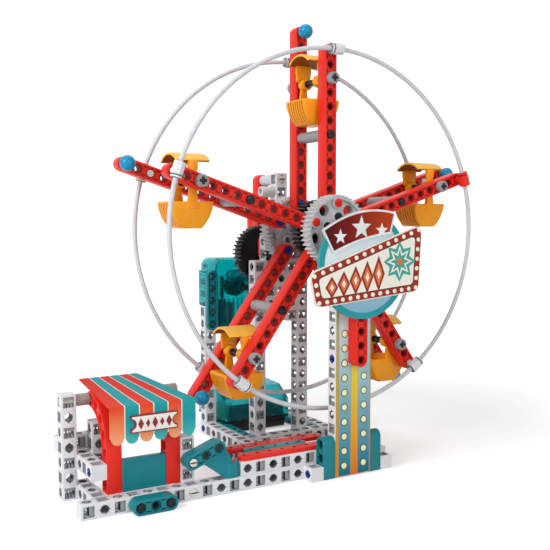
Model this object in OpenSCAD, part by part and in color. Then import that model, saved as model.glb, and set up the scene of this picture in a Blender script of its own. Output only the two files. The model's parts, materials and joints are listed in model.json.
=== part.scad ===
// Motor driven ferris wheel toy, built from beams, links, pins, axles and gears on one square grid.
// Frame: the middle of the footprint is X 0, Y 0 and the table is Z 0. The booth stands at the left,
// the ticket ramp and the sign face the front, and the gearbox and the battery box are at the back.
// Places are written in cells of the grid, counted from the front left corner of the front base beam.

/* [Grid] */
// Width of a beam, and the spacing of its holes
pitch = 10; // [9:0.5:12]
// Diameter of the round holes
hole_d = 5.2; // [4.8:0.1:5.4]
// Play all round a pin or a shaft in its hole
play = 0.05; // [0.02:0.01:0.08]
// Width of the square recesses between the holes
recess_w = 7; // [6:0.25:7.5]
// Depth of the square recesses
recess_depth = 1.5; // [1:0.1:1.8]

/* [Wheel] */
// Outer diameter of the rim tubes
rim_tube_d = 3.8; // [3:0.2:4.4]
// Diameter of the ball knobs at the tips of the rear arms
knob_d = 11; // [8:0.5:11]
// Wall of the gondola buckets
bucket_wall = 1.6; // [1.2:0.2:2]
// Thickness of the gondola roofs
roof_t = 1.4; // [1:0.2:2]

/* [Gears] */
// Play between the flanks of two meshing teeth
backlash = 0.3; // [0.2:0.05:0.4]
// Gap in front of and behind a turning gear
side_gap = 0.5; // [0.4:0.1:0.6]

/* [Covers and signs] */
// Wall of the gearbox and of the battery box
box_wall = 1.8; // [1.2:0.2:2]
// Thickness of the striped awning
awning_t = 2; // [1.5:0.25:2.5]
// Thickness of each sign board
board_t = 2.5; // [2:0.25:3]
// Thickness of the printed card on the column
card_t = 0.6; // [0.4:0.1:1]

/* [Hidden] */
$fn = 48;

// Directions, and the turn that lays a cylinder along each
ALONG_X = 0;
ALONG_Y = 1;
ALONG_Z = 2;
AXES_SUM = 3;
TURNS = [[0, 90, 0], [-90, 0, 0], [0, 0, 0]];
STEPS = [[1, 0, 0], [0, 1, 0], [0, 0, 1]];
CELL_MIDDLE = [0.5, 0.5, 0.5];

// Colours
white_grey = [0.86, 0.87, 0.88];
bright_red = [0.93, 0.16, 0.12];
teal = [0.05, 0.62, 0.62];
black = [0.08, 0.08, 0.09];
mid_grey = [0.62, 0.63, 0.64];
pin_blue = [0.05, 0.2, 0.65];
orange = [0.98, 0.62, 0.1];
yellow = [0.99, 0.8, 0.3];
cream = [0.98, 0.95, 0.85];
dark_red = [0.55, 0.1, 0.08];
card_blue = [0.45, 0.7, 0.8];
clear_teal = [0.1, 0.7, 0.7, 0.6];
wrap_green = [0.2, 0.5, 0.3];
knob_blue = [0.05, 0.55, 0.85];

// Depth of a beam, a link or a gear, in cells
beam_deep = 1;

// Wheel: its centre, its five arms and the radii of the holes in use, in cells
wheel_cell = [19.5, 0, 17.5];
arm_count = 5;
first_arm_angle = 18;
arm_step = 360 / arm_count;
inner_pin_cell = 1;
hub_pin_cell = 2;
spacer_cell = 7;
gondola_cell = 11;
front_arm_holes = 12;
rear_arm_holes = 14;
rim_cell = hub_pin_cell + front_arm_holes - 1;
knob_cell = hub_pin_cell + rear_arm_holes - 1;
front_arm_y = 2;
rear_arm_y = 6;
rim_out_cells = 0.65;
front_rim_y = front_arm_y - rim_out_cells;
rear_rim_y = rear_arm_y + beam_deep + rim_out_cells;

// The stand's extents set the origin: the left end, the right knob, the boards and the box behind
mast_front_y = -2;
mast_back_y = mast_front_y + beam_deep;
box_back_y = 18.4;
right_end = (wheel_cell.x + knob_cell * cos(first_arm_angle)) * pitch + knob_d / 2;
board_front = mast_front_y * pitch - 2 * board_t;
origin_x = right_end / 2;
switch_play = 0.2;
switch_grip_cells = [0.8, 0.25, 0.8];
back_end = (box_back_y + switch_grip_cells.y) * pitch + switch_play;
origin_y = (back_end + board_front) / 2;

// Sizes that follow from the driving ones
pin_d = hole_d - 2 * play;
half_share = 0.5;
pin_head_share = 0.64;
pin_head_d = pin_head_share * pitch;
pin_head_cells = 0.08;
fat_tube_share = 0.86;
fat_tube_d = fat_tube_share * pitch;
play_cells = play / pitch;
over = 1;
over_cells = over / pitch;

// Gear sizes: the mesh of 30 on 11 teeth spans one cell across and two cells down
drive_teeth = 30;
pinion_teeth = 11;
lay_teeth = 40;
out_teeth = 15;
rim_teeth = 46;
mesh_cells = [1, 2];
mesh_distance = norm(mesh_cells) * pitch;
gear_module = 2 * mesh_distance / (drive_teeth + pinion_teeth);
lay_distance_cells = 3;
lay_module = 2 * lay_distance_cells * pitch / (lay_teeth + out_teeth);
pressure_angle = 20;
addendum_share = 0.9;
dedendum_share = 1.2;
flank_start_share = 0.25;
lay_cell = [18.5, 8, 15.5];
out_cell = [18.5, 10.35, 12.5];
lay_gear_y = 10.35;

function at(cell) = [cell.x * pitch - origin_x, cell.y * pitch - origin_y, cell.z * pitch];
function other_axis(dir, axis) = AXES_SUM - dir - axis;
function beam_size(cells, dir) = pitch * (STEPS[0] + STEPS[1] + STEPS[2] + (cells - 1) * STEPS[dir]);
function arm_angle(i) = first_arm_angle + i * arm_step;
function spoke(r, y, angle) = [wheel_cell.x + r * cos(angle), y, wheel_cell.z + r * sin(angle)];
function involute(angle) = tan(angle) * 180 / PI - angle;
function mesh_pitch_r(teeth, m) = teeth * m / 2;

// Beams, links, rods and pins

// A square beam from one corner, with holes that change between two directions from cell to cell
module beam(corner, cells, dir, first_axis) {
    difference() {
        translate(at(corner)) cube(beam_size(cells, dir));
        for (i = [0 : cells - 1]) {
            axis = i % 2 == 0 ? first_axis : other_axis(dir, first_axis);
            translate(at(corner + CELL_MIDDLE + i * STEPS[dir])) beam_cell(axis, other_axis(dir, axis));
        }
    }
}

// The hole and the two recesses of one cell of a beam
module beam_cell(hole_axis, recess_axis) {
    rotate(TURNS[hole_axis]) cylinder(d = hole_d, h = pitch + 2 * over, center = true);
    for (side = [-1, 1]) {
        rotate(TURNS[recess_axis])
            translate([0, 0, side * (pitch - recess_depth + over) / 2])
                cube([recess_w, recess_w, recess_depth + over], center = true);
    }
}

// The outline of a round ended link, its first hole at zero and the rest along X
module link_outline(holes) {
    difference() {
        union() {
            translate([0, -pitch / 2]) square([(holes - 1) * pitch, pitch]);
            circle(d = pitch);
            translate([(holes - 1) * pitch, 0]) circle(d = pitch);
        }
        for (i = [0 : holes - 1]) translate([i * pitch, 0]) circle(d = hole_d);
    }
}

// A link whose holes run along Y, from the front at its first hole, turned by an angle from level
module link_across(first_hole, holes, cells_deep, angle) {
    translate(at(first_hole + [0, cells_deep, 0]))
        rotate([90, 0, 0]) rotate([0, 0, angle])
            linear_extrude(cells_deep * pitch) link_outline(holes);
}

// A flat strip whose holes run up, with its length along X or Y
module flat_strip(first_hole, holes, cells_high, angle) {
    translate(at(first_hole)) rotate([0, 0, angle])
        linear_extrude(cells_high * pitch) link_outline(holes);
}

module rod(start, cells, dir, d) {
    translate(at(start)) rotate(TURNS[dir]) cylinder(d = d, h = cells * pitch);
}

module tube(start, cells, dir, d, bore) {
    difference() {
        rod(start, cells, dir, d);
        rod(start - over_cells * STEPS[dir], cells + 2 * over_cells, dir, bore);
    }
}

// A pin from its head's face on a beam, through the cells behind it
module pin(start, cells, dir) {
    rod(start, cells, dir, pin_d);
    rod(start - pin_head_cells * STEPS[dir], pin_head_cells, dir, pin_head_d);
}

// Gears

// Half the angle that a tooth takes up at a radius
function tooth_half(r, teeth, m) =
    let (pitch_r = mesh_pitch_r(teeth, m), base_r = pitch_r * cos(pressure_angle))
    90 / teeth - backlash * 90 / (PI * pitch_r)
        + involute(pressure_angle) - involute(acos(min(1, base_r / max(r, base_r))));

// The radii at which a tooth's flank has a point, from the root to the tip
function flank_radii(teeth, m) =
    let (pitch_r = mesh_pitch_r(teeth, m), base_r = pitch_r * cos(pressure_angle))
    let (root_r = pitch_r - dedendum_share * m, tip_r = pitch_r + addendum_share * m)
    let (start_r = max(base_r, root_r + flank_start_share * (pitch_r - root_r)))
    [root_r, start_r, (start_r + tip_r) / 2, tip_r];

function on_circle(r, angle) = [r * cos(angle), r * sin(angle)];

// The turn at which a mating gear's space faces a gear's tooth, in the direction of an angle
function mesh_turn(teeth, turn, mate_teeth, angle) =
    angle + 180 - (half_share - (angle - turn) * teeth / 360) * 360 / mate_teeth;

module gear_outline(teeth, m) {
    radii = flank_radii(teeth, m);
    last = len(radii) - 1;
    polygon([
        for (i = [0 : teeth - 1], side = [-1, 1], j = [0 : last])
            let (r = side < 0 ? radii[j] : radii[last - j])
            on_circle(r, i * 360 / teeth + side * tooth_half(r, teeth, m))
    ]);
}

// A toothed wheel on an axis along Y, from its front face
module gear(front, cells_wide, teeth, m, turn) {
    translate(at(front + [0, cells_wide, 0])) rotate([90, 0, 0]) rotate([0, 0, turn])
        linear_extrude(cells_wide * pitch) gear_outline(teeth, m);
}

// Base

front_beam_corner = [0, 0, 0];
front_beam_cells = 16;
module base_front_beam() {
    color(white_grey) beam(front_beam_corner, front_beam_cells, ALONG_X, ALONG_Z);
}

// The second row in front, and the beam that joins the rails behind
cross_beam_corners = [[11, 0, 1], [16, 8, 0]];
cross_beam_cells = 7;
module base_cross_beams() {
    color(white_grey)
        for (corner = cross_beam_corners) beam(corner, cross_beam_cells, ALONG_X, ALONG_Y);
}

// Two bearers under the platform strips, and the short beam behind the booth's posts
bearer_corners = [[12, 1, 1], [16, 1, 1]];
booth_cross_corner = [0, 5, 3];
short_beam_cells = 3;
module short_beams() {
    color(white_grey) {
        for (corner = bearer_corners) beam(corner, short_beam_cells, ALONG_Y, ALONG_X);
        beam(booth_cross_corner, short_beam_cells, ALONG_X, ALONG_Y);
    }
}

foot_beam_corners = [[16, -1, 0], [22, -1, 0]];
foot_beam_cells = 5;
module base_foot_beams() {
    color(white_grey)
        for (corner = foot_beam_corners) beam(corner, foot_beam_cells, ALONG_Y, ALONG_X);
}

rail_corners = [[15, 1, 0], [23, 1, 0]];
rail_cells = 14;
module base_rails() {
    color(white_grey) for (corner = rail_corners) beam(corner, rail_cells, ALONG_Y, ALONG_Z);
}

link_holes = 3;
front_link_hole = [3.5, -1, 0.5];
ramp_link_hole = [7.5, 0, 2.5];
ramp_angle = 20;
column_link_cells = [[17, -0.5, 0], [21, -0.5, 0]];
module teal_links() {
    color(teal) {
        link_across(front_link_hole, link_holes, beam_deep, 0);
        link_across(ramp_link_hole, link_holes, beam_deep, ramp_angle);
        for (cell = column_link_cells) column_link(cell);
    }
}

// A column link stands upright: square at the foot, round at the top, its holes along X
module column_link(cell) {
    translate(at(cell)) rotate([90, 0, 90]) linear_extrude(pitch) difference() {
        union() {
            translate([-pitch / 2, 0]) square([pitch, (link_holes - half_share) * pitch]);
            translate([0, (link_holes - half_share) * pitch]) circle(d = pitch);
        }
        for (i = [0 : link_holes - 1]) translate([0, (i + half_share) * pitch]) circle(d = hole_d);
    }
}

strip_cells_high = 0.3;
teal_strip_hole = [12.5, 1.5, 2];
teal_strip_holes = 5;
box_strip_holes = [[16.375, 9.375, 0.7], [22.625, 9.375, 0.7]];
box_strip_count = 6;
box_strip_w_share = 0.75;
bar_hole = [15.5, 13.5, 9.5];
bar_holes = 5;
bar_cells_deep = 0.5;
module flat_strips_teal() {
    color(teal) {
        flat_strip(teal_strip_hole, teal_strip_holes, strip_cells_high, 0);
        for (hole = box_strip_holes) narrow_strip(hole);
        link_across(bar_hole, bar_holes, bar_cells_deep, 90);
    }
}

// A narrow strip beside a rail: it carries the battery box's flange
module narrow_strip(hole) {
    w = box_strip_w_share * pitch;
    translate(at(hole)) linear_extrude(strip_cells_high * pitch) difference() {
        union() {
            translate([-w / 2, 0]) square([w, (box_strip_count - 1) * pitch]);
            for (end = [0, box_strip_count - 1]) translate([0, end * pitch]) circle(d = w);
        }
        for (i = [0 : box_strip_count - 1]) translate([0, i * pitch]) circle(d = w / 2);
    }
}

red_strip_holes = [[11.5, 0.5, 2], [11.5, 2.5, 2]];
red_strip_counts = [7, 8];
lay_strip_hole = [18.5, 10, 15.5];
lay_strip_count = 2;
module flat_strips_red() {
    color(bright_red) {
        for (i = [0, 1]) flat_strip(red_strip_holes[i], red_strip_counts[i], strip_cells_high, 0);
        link_across(lay_strip_hole, lay_strip_count, strip_cells_high, 90);
    }
}

// The post under the ramp link, and the booth's rear post
short_post_corners = [[7, 1, 0], [2, 4, 1]];
short_post_cells = 4;
module short_posts() {
    color(white_grey)
        for (corner = short_post_corners) beam(corner, short_post_cells, ALONG_Z, ALONG_Y);
}

// The bent arm under the ramp link, down to the block on the second beam's end
ramp_block_cell = [10, 0, 1];
ramp_arm_points = [
    [8.05, 2.2], [8.05, 1.75], [9.3, 1.1], [10.1, 1.1], [10.1, 1.7], [9.35, 1.7], [8.5, 2.3]
];
module ramp_arm() {
    color(teal) difference() {
        union() {
            translate(at(ramp_block_cell)) cube([pitch, pitch, pitch]);
            translate(at([0, ramp_block_cell.y + beam_deep, 0])) rotate([90, 0, 0])
                linear_extrude(beam_deep * pitch) polygon(ramp_arm_points * pitch);
        }
        translate(at(ramp_link_hole + [0, beam_deep + over_cells, 0]))
            rotate([90, 0, 0]) rotate([0, 0, ramp_angle]) translate([-pitch, -pitch / 2])
                cube([(link_holes + 1) * pitch, pitch, (beam_deep + 2 * over_cells) * pitch]);
    }
}

// Column and its card

column_corners = [[18, -1, 0], [20, -1, 0]];
column_cells = 18;
module column_posts() {
    color(white_grey)
        for (corner = column_corners) beam(corner, column_cells, ALONG_Z, ALONG_X);
}

column_block_corners = [[19, -1, 0], [19, -1, 8], [19, -1, 16]];
column_block_cells = [1, 4, 2];
module column_blocks() {
    color(white_grey)
        for (i = [0 : 2]) beam(column_block_corners[i], column_block_cells[i], ALONG_Z, ALONG_X);
}

card_corner = [18, -1, 0.1];
card_cells = [3, 0, 11.9];
card_slot_corner = [19, -1, 8];
card_slot_cells = [1, 0, 4];
module column_card() {
    size = card_cells * pitch + [0, card_t, 0];
    color(card_blue) difference() {
        translate(at(card_corner) - [0, card_t, 0]) cube(size);
        translate(at(card_slot_corner) - [play, card_t + over, 0])
            cube([pitch + 2 * play, card_t + 2 * over, card_slot_cells.z * pitch + over]);
    }
}

// Booth

corner_post_corner = [0, 4, 0];
corner_post_cells = 7;
module booth_corner_post() {
    color(white_grey) beam(corner_post_corner, corner_post_cells, ALONG_Z, ALONG_X);
}

booth_low_corner = [1, 1, 0];
booth_mid_corner = [1, 1, 2];
booth_depth_cells = 4;
module booth_side_beams() {
    color(white_grey) for (corner = [booth_low_corner, booth_mid_corner])
        beam(corner, booth_depth_cells, ALONG_Y, ALONG_X);
}

// The roof rail: tubes between and outside the bent beams, on a rod through all of them
roof_rod_start = [0, 4.5, 6.5];
roof_rod_cells = 8.2;
roof_tube_starts = [1, 3, 7];
roof_tube_cells = [1, 3, 1.2];
roof_tube_share = 0.8;
roof_tube_d = roof_tube_share * pitch;
module booth_roof_tube() {
    color(mid_grey) for (i = [0 : 2])
        tube([roof_tube_starts[i], roof_rod_start.y, roof_rod_start.z], roof_tube_cells[i],
            ALONG_X, roof_tube_d, hole_d);
}

// A bent beam stands on end and then turns back through a quarter circle
bent_foot_y = booth_mid_corner.y + half_share;
bend_r_cells = roof_rod_start.y - bent_foot_y;
bend_cell = [roof_rod_start.y, roof_rod_start.z - bend_r_cells];
bent_foot_z = 1;
bent_beam_x = [2, 6];
bent_low_holes = 2;
bent_arc_step = 22.5;
module booth_bent_beams() {
    color(bright_red) for (x = bent_beam_x)
        translate(at([x, 0, 0])) rotate([90, 0, 90]) linear_extrude(pitch) bent_outline();
}

module bent_outline() {
    inner_r = (bend_r_cells - half_share) * pitch;
    outer_r = (bend_r_cells + half_share) * pitch;
    foot = (bend_cell.y - bent_foot_z) * pitch;
    translate(bend_cell * pitch) difference() {
        union() {
            intersection() {
                difference() {
                    circle(r = outer_r);
                    circle(r = inner_r);
                }
                translate([-outer_r, 0]) square([outer_r, outer_r]);
            }
            translate([-outer_r, -foot]) square([pitch, foot]);
            translate([0, bend_r_cells * pitch]) circle(d = pitch);
        }
        for (i = [1 : bent_low_holes])
            translate([-bend_r_cells * pitch, -i * pitch]) circle(d = hole_d);
        for (turn = [0 : bent_arc_step : 90])
            translate(on_circle(bend_r_cells * pitch, 180 - turn)) circle(d = hole_d);
    }
}

// The counter's panel, and the plate with notched corners that hangs on the valance
counter_corner = [3, 1, 1];
counter_cells = [3, 0.5, 2.1];
plate_corner = [3.3, 0.3, 4.85];
plate_cells = [3.3, 0.2, 1.25];
plate_notch_share = 0.3;
module booth_panels() {
    size = plate_cells * pitch;
    color(teal) translate(at(counter_corner)) cube(counter_cells * pitch);
    color(cream) translate(at(plate_corner)) rotate([90, 0, 0]) linear_extrude(size.y) difference() {
        square([size.x, size.z]);
        for (x = [0, size.x], z = [0, size.z]) translate([x, z]) circle(r = plate_notch_share * pitch);
    }
}

// The awning slopes up to the back, hangs down in scallops in front and clips on the roof rail
awning_x = [2, 8];
awning_back_x = [2.2, 6.8];
awning_front_y = 0.3;
awning_back_y = 7;
awning_slope = 0.155;
awning_clear_cells = 0.005;
awning_touch_z = bend_cell.y + (bend_r_cells + half_share) * norm([1, awning_slope]) + awning_clear_cells;
valance_bottom_z = 4.3;
scallops = 6;
clip_corner = [3.5, 3.9, 6.2];
clip_cells = [2, 1.2, 1.2];
clip_mouth_share = 0.5;
module booth_awning() {
    clip_mouth = clip_mouth_share * roof_tube_d;
    color(bright_red) difference() {
        union() {
            intersection() {
                awning_profile(awning_x);
                translate(at([0, 0, 0])) linear_extrude(2 * awning_touch_z * pitch) polygon([
                    [awning_x[0], awning_front_y] * pitch, [awning_x[1], awning_front_y] * pitch,
                    [awning_back_x[1], awning_back_y] * pitch, [awning_back_x[0], awning_back_y] * pitch
                ]);
            }
            valance();
            intersection() {
                translate(at(clip_corner)) cube(clip_cells * pitch);
                awning_under();
            }
        }
        translate(at(roof_rod_start)) rotate(TURNS[ALONG_X])
            cylinder(d = roof_tube_d, h = roof_rod_cells * pitch);
        translate(at([clip_corner.x, roof_rod_start.y, clip_corner.z]) - [over, clip_mouth / 2, over])
            cube([clip_cells.x * pitch + 2 * over, clip_mouth, pitch * half_share]);
    }
}

// The awning's side view, as points in Y and Z
function awning_z(y) = awning_touch_z + awning_slope * (y - roof_rod_start.y);
module awning_profile(span) {
    rise = [0, awning_t];
    translate(at([span[0], 0, 0])) rotate([90, 0, 90]) linear_extrude((span[1] - span[0]) * pitch)
        polygon([
            [awning_front_y, awning_z(awning_front_y)] * pitch,
            [awning_back_y, awning_z(awning_back_y)] * pitch,
            [awning_back_y, awning_z(awning_back_y)] * pitch + rise,
            [awning_front_y, awning_z(awning_front_y)] * pitch + rise
        ]);
}

module awning_under() {
    translate(at([clip_corner.x, 0, 0])) rotate([90, 0, 90]) linear_extrude(clip_cells.x * pitch)
        polygon([
            [clip_corner.y, 0] * pitch,
            [clip_corner.y, awning_z(clip_corner.y)] * pitch,
            [clip_corner.y + clip_cells.y, awning_z(clip_corner.y + clip_cells.y)] * pitch,
            [clip_corner.y + clip_cells.y, 0] * pitch
        ]);
}

module valance() {
    width = (awning_x[1] - awning_x[0]) * pitch;
    scallop_w = width / scallops;
    top = awning_z(awning_front_y) * pitch;
    bottom = valance_bottom_z * pitch + scallop_w / 2;
    translate(at([awning_x[0], awning_front_y, 0]) + [0, awning_t, 0]) rotate([90, 0, 0])
        linear_extrude(awning_t) {
            translate([0, bottom]) square([width, top - bottom + awning_t / 2]);
            for (i = [0 : scallops - 1])
                translate([(i + half_share) * scallop_w, bottom]) circle(d = scallop_w);
        }
}

// Sign

mast_hole = [19.5, -2, 8.5];
mast_holes = 10;
module sign_mast() {
    color(bright_red) link_across(mast_hole, mast_holes, beam_deep, 90);
}

disc_cell = [19.4, -2, 15.2];
disc_r_cells = 4;
sign_pin_z = [13.5, 15.5];
module sign_disc() {
    color(teal) difference() {
        translate(at(disc_cell)) rotate([90, 0, 0]) cylinder(r = disc_r_cells * pitch, h = board_t);
        for (z = sign_pin_z) translate(at([mast_hole.x, mast_front_y, z])) rotate([90, 0, 0])
            cylinder(d = hole_d, h = 2 * (board_t + over), center = true);
    }
}

// The boards in front of the disc, as corners in X and Z
marquee_corners = [[14.8, 14.7], [24.3, 17.9], [24.1, 13.2], [15.6, 12.4]];
banner_corners = [[15.9, 17.55], [21.8, 18.55], [21.1, 15.5], [16.9, 14.8]];
banner_r_cells = 6;
banner_centre = [19.9, 12.95];
module marquee_outline() {
    polygon([for (corner = marquee_corners) corner * pitch]);
}

module sign_banner() {
    color(dark_red) translate(at([0, mast_front_y, 0]) - [0, board_t, 0]) rotate([90, 0, 0])
        linear_extrude(board_t * half_share) difference() {
            intersection() {
                polygon([for (corner = banner_corners) corner * pitch + lift(corner)]);
                translate(banner_centre * pitch) circle(r = banner_r_cells * pitch);
            }
            marquee_outline();
        }
}
function lift(corner) = [0, corner.y > banner_centre.y + banner_r_cells / 2 ? pitch : 0];

module sign_marquee() {
    color(cream) translate(at([0, mast_front_y, 0]) - [0, board_t, 0]) rotate([90, 0, 0])
        linear_extrude(board_t) marquee_outline();
}

// Tower behind the wheel

tower_corners = [[17, 9, 0], [21, 9, 0], [15, 14, 1]];
tower_cells = [15, 15, 10];
module tower_posts() {
    color(white_grey)
        for (i = [0 : 2]) beam(tower_corners[i], tower_cells[i], ALONG_Z, ALONG_X);
}

connector_corners = [[18, 9, 10], [20, 9, 10]];
connector_cells = 7;
module tower_connectors() {
    color(white_grey)
        for (corner = connector_corners) beam(corner, connector_cells, ALONG_Z, ALONG_X);
}

axle_post_corner = [19, 9, 11];
axle_post_cells = 11;
module tower_axle_post() {
    color(white_grey) beam(axle_post_corner, axle_post_cells, ALONG_Z, ALONG_Y);
}

back_beam_hole = [19.5, 12, 15.5];
back_beam_holes = 7;
module tower_back_beam() {
    color(bright_red) link_across(back_beam_hole, back_beam_holes, beam_deep, 90);
}

rear_beam_hole = [19.5, 13, 10.5];
rear_beam_holes = 9;
module tower_rear_beam() {
    color(bright_red) link_across(rear_beam_hole, rear_beam_holes, beam_deep, 90);
}

tower_spacer_z = [19.5, 21.5];
tower_spacer_y = 10;
tower_spacer_cells = 2;
side_tube_start = [17.8, 9.5, 20.5];
side_tube_cells = 1.2;
module tower_spacers() {
    color(cream) {
        for (z = tower_spacer_z)
            tube([wheel_cell.x, tower_spacer_y, z], tower_spacer_cells, ALONG_Y, fat_tube_d, hole_d);
        tube(side_tube_start, side_tube_cells, ALONG_X, fat_tube_d, hole_d);
    }
}

// Gearbox

shell_corner = [16, 14, 9];
shell_cells = [4, 3, 6];
shell_round_share = 0.8;
shell_slab_corner = [15, 14, 11];
shell_slab_cells = [1, 1.25, 3];
shell_boss_hole = [17.4, 13, 13.5];
shell_boss_cells = 1.9;
module gearbox_shell() {
    color(clear_teal) difference() {
        union() {
            shell_form(0);
            translate(at(shell_slab_corner)) cube(shell_slab_cells * pitch);
            translate(at(shell_boss_hole + [0, beam_deep, 0])) rotate([90, 0, 0]) linear_extrude(pitch) {
                circle(d = pitch);
                translate([0, -pitch / 2]) square([shell_boss_cells * pitch - pitch / 2, pitch]);
            }
        }
        shell_form(box_wall);
        rod(shell_boss_hole - [0, over_cells, 0], beam_deep + over_cells, ALONG_Y, hole_d);
        rod([out_cell.x, shell_corner.y - over_cells, out_cell.z], shell_cells.y + 2 * over_cells,
            ALONG_Y, hole_d);
    }
}

// The gearbox body, drawn in by a wall for its hollow
module shell_form(wall) {
    size = shell_cells * pitch - 2 * wall * [1, 1, 1];
    r = shell_round_share * pitch - wall;
    translate(at(shell_corner) + wall * [1, 1, 1] + [0, size.y, 0]) rotate([90, 0, 0])
        linear_extrude(size.y) {
            square([size.x, size.z - r]);
            translate([r, 0]) square([size.x - 2 * r, size.z]);
            for (x = [r, size.x - r]) translate([x, size.z - r]) circle(r = r);
        }
}

motor_cell = [17.35, 15.5, 9];
motor_r_cells = 1.1;
motor_top_z = 11.4;
module gearbox_motor() {
    floor_z = motor_cell.z * pitch + box_wall;
    height = motor_top_z * pitch - floor_z;
    color(black) difference() {
        translate(at(motor_cell) + [0, 0, box_wall]) cylinder(r = motor_r_cells * pitch, h = height);
        translate(at(motor_cell) + [0, 0, box_wall + height / 2])
            cylinder(d = worm_shaft_d + 2 * play, h = height);
    }
}

worm_shaft_share = 0.2;
worm_shaft_d = worm_shaft_share * pitch;
worm_share = 0.42;
worm_z = [11.6, 13.4];
worm_grooves = 6;
worm_shaft_bottom_z = 10.6;
worm_groove_share = 0.55;
module motor_worm() {
    step = (worm_z[1] - worm_z[0]) * pitch / worm_grooves;
    color(mid_grey) {
        translate(at([motor_cell.x, motor_cell.y, worm_shaft_bottom_z]))
            cylinder(d = worm_shaft_d, h = (worm_z[0] - worm_shaft_bottom_z) * pitch);
        translate(at([motor_cell.x, motor_cell.y, worm_z[0]])) for (i = [0 : worm_grooves - 1])
            translate([0, 0, i * step]) {
                cylinder(d = worm_share * pitch, h = step / 2);
                translate([0, 0, step / 2]) cylinder(d = worm_share * worm_groove_share * pitch, h = step / 2);
            }
    }
}

// Battery box

battery_d_share = 1.45;
battery_length_cells = 5;
battery_count = 3;
battery_x = [17.85, 19.5, 21.15];
battery_z = 0.98;
tray_corner = [16.8, 13, 0.15];
tray_cells = [5.4, 5.4, 0.85];
flange_corner = [16.4, 13, 1];
flange_cells = [6.2, 5.4, 0.15];
battery_start_y = 13.2;
module battery_box() {
    color(black) difference() {
        union() {
            translate(at(tray_corner)) cube(tray_cells * pitch);
            translate(at(flange_corner)) cube(flange_cells * pitch);
        }
        for (x = battery_x)
            rod([x, battery_start_y - play_cells, battery_z], battery_length_cells + 2 * play_cells,
                ALONG_Y, battery_d_share * pitch + 2 * play);
        translate(at([battery_x[0], battery_start_y - play_cells, battery_z])) cube([
            (battery_x[2] - battery_x[0]) * pitch, (battery_length_cells + 2 * play_cells) * pitch, pitch
        ]);
    }
}

module battery_cells() {
    color(wrap_green) for (x = battery_x)
        rod([x, battery_start_y, battery_z], battery_length_cells, ALONG_Y, battery_d_share * pitch);
}

lid_points = [[13, 1.15], [13, 2.6], [14.5, 3.6], [18.4, 3.8], [18.4, 1.15]];
lid_x = [16.4, 22.6];
switch_cell = [19, 18.4, 2.2];
switch_slot_cells = [1, 0, 0.5];
module battery_lid() {
    color(clear_teal) difference() {
        translate(at([lid_x[0], 0, 0])) rotate([90, 0, 90])
            linear_extrude((lid_x[1] - lid_x[0]) * pitch) polygon(lid_points * pitch);
        translate(at([lid_x[0], 0, 0]) + [box_wall, 0, 0]) rotate([90, 0, 90])
            linear_extrude((lid_x[1] - lid_x[0]) * pitch - 2 * box_wall) polygon([
                lid_points[0] * pitch + [box_wall, -over],
                lid_points[1] * pitch + [box_wall, -box_wall / 2],
                lid_points[2] * pitch + [box_wall / 2, -box_wall],
                lid_points[3] * pitch + [-box_wall, -box_wall],
                lid_points[4] * pitch + [-box_wall, -over]
            ]);
        translate(at(switch_cell) - [0, box_wall + over, 0])
            cube([switch_slot_cells.x * pitch, box_wall + 2 * over, switch_slot_cells.z * pitch]);
    }
}

switch_neck_cells = [0.5, 0, 0.4];
module power_switch() {
    neck_x = switch_cell.x * pitch + switch_play;
    z_mid = (switch_cell.z + switch_slot_cells.z / 2) * pitch;
    neck = [switch_neck_cells.x * pitch, box_wall + 2 * switch_play, switch_neck_cells.z * pitch];
    grip = switch_grip_cells * pitch;
    color(black) translate([neck_x + neck.x / 2 - origin_x, switch_cell.y * pitch - origin_y, z_mid]) {
        translate([-neck.x / 2, -box_wall - switch_play, -neck.z / 2]) cube(neck);
        for (y = [switch_play, -box_wall - switch_play - grip.y])
            translate([-grip.x / 2, y, -grip.z / 2]) cube(grip);
    }
}

// Fasteners of the stand

blue_pin_starts = [
    [16, -0.5, 0.5], [15, 14.5, 0.5],
    [booth_mid_corner.x, bent_foot_y, booth_mid_corner.z + half_share],
    [18, -0.5, 16.5], [18, -0.5, 8.5]
];
blue_pin_cells = [7, 1, 2, 3, 3];
module stand_pins_blue() {
    color(pin_blue) for (i = [0 : len(blue_pin_starts) - 1])
        pin(blue_pin_starts[i], blue_pin_cells[i], ALONG_X);
}

light_pin_starts = [[7.5, 0, 0.5], [7.5, 0, 2.5], [19.5, 9, 19.5], [19.5, 9, 21.5]];
light_pin_cells = [2, 2, 4, 4];
sign_pin_cells = 1;
module stand_pins_light() {
    color(cream) {
        for (i = [0 : len(light_pin_starts) - 1])
            pin(light_pin_starts[i], light_pin_cells[i], ALONG_Y);
        rod(roof_rod_start, roof_rod_cells, ALONG_X, pin_d);
        for (z = sign_pin_z) mirror([0, 1, 0]) translate([0, -2 * at([0, mast_back_y, 0]).y, 0])
            pin([mast_hole.x, mast_back_y, z], sign_pin_cells, ALONG_Y);
    }
}

// Gear train

module lay_shaft() {
    color(black) {
        gear(lay_cell + [0, gap_cells, 0], gear_cells, pinion_teeth, gear_module, pinion_turn);
        rod(lay_cell + [0, gap_cells, 0], lay_shaft_cells, ALONG_Y, pin_d);
    }
}
gap_cells = side_gap / pitch;
gear_cells = beam_deep - 2 * gap_cells;
lay_shaft_cells = 3.6;
pinion_turn = mesh_turn(drive_teeth, 0, pinion_teeth, atan2(-mesh_cells.y, -mesh_cells.x));

module lay_gear() {
    color(black) difference() {
        gear([lay_cell.x, lay_gear_y, lay_cell.z], beam_deep, lay_teeth, lay_module, lay_turn);
        rod([lay_cell.x, lay_gear_y - over_cells, lay_cell.z], beam_deep + 2 * over_cells, ALONG_Y, pin_d);
    }
}
lay_turn = 0;

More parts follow.
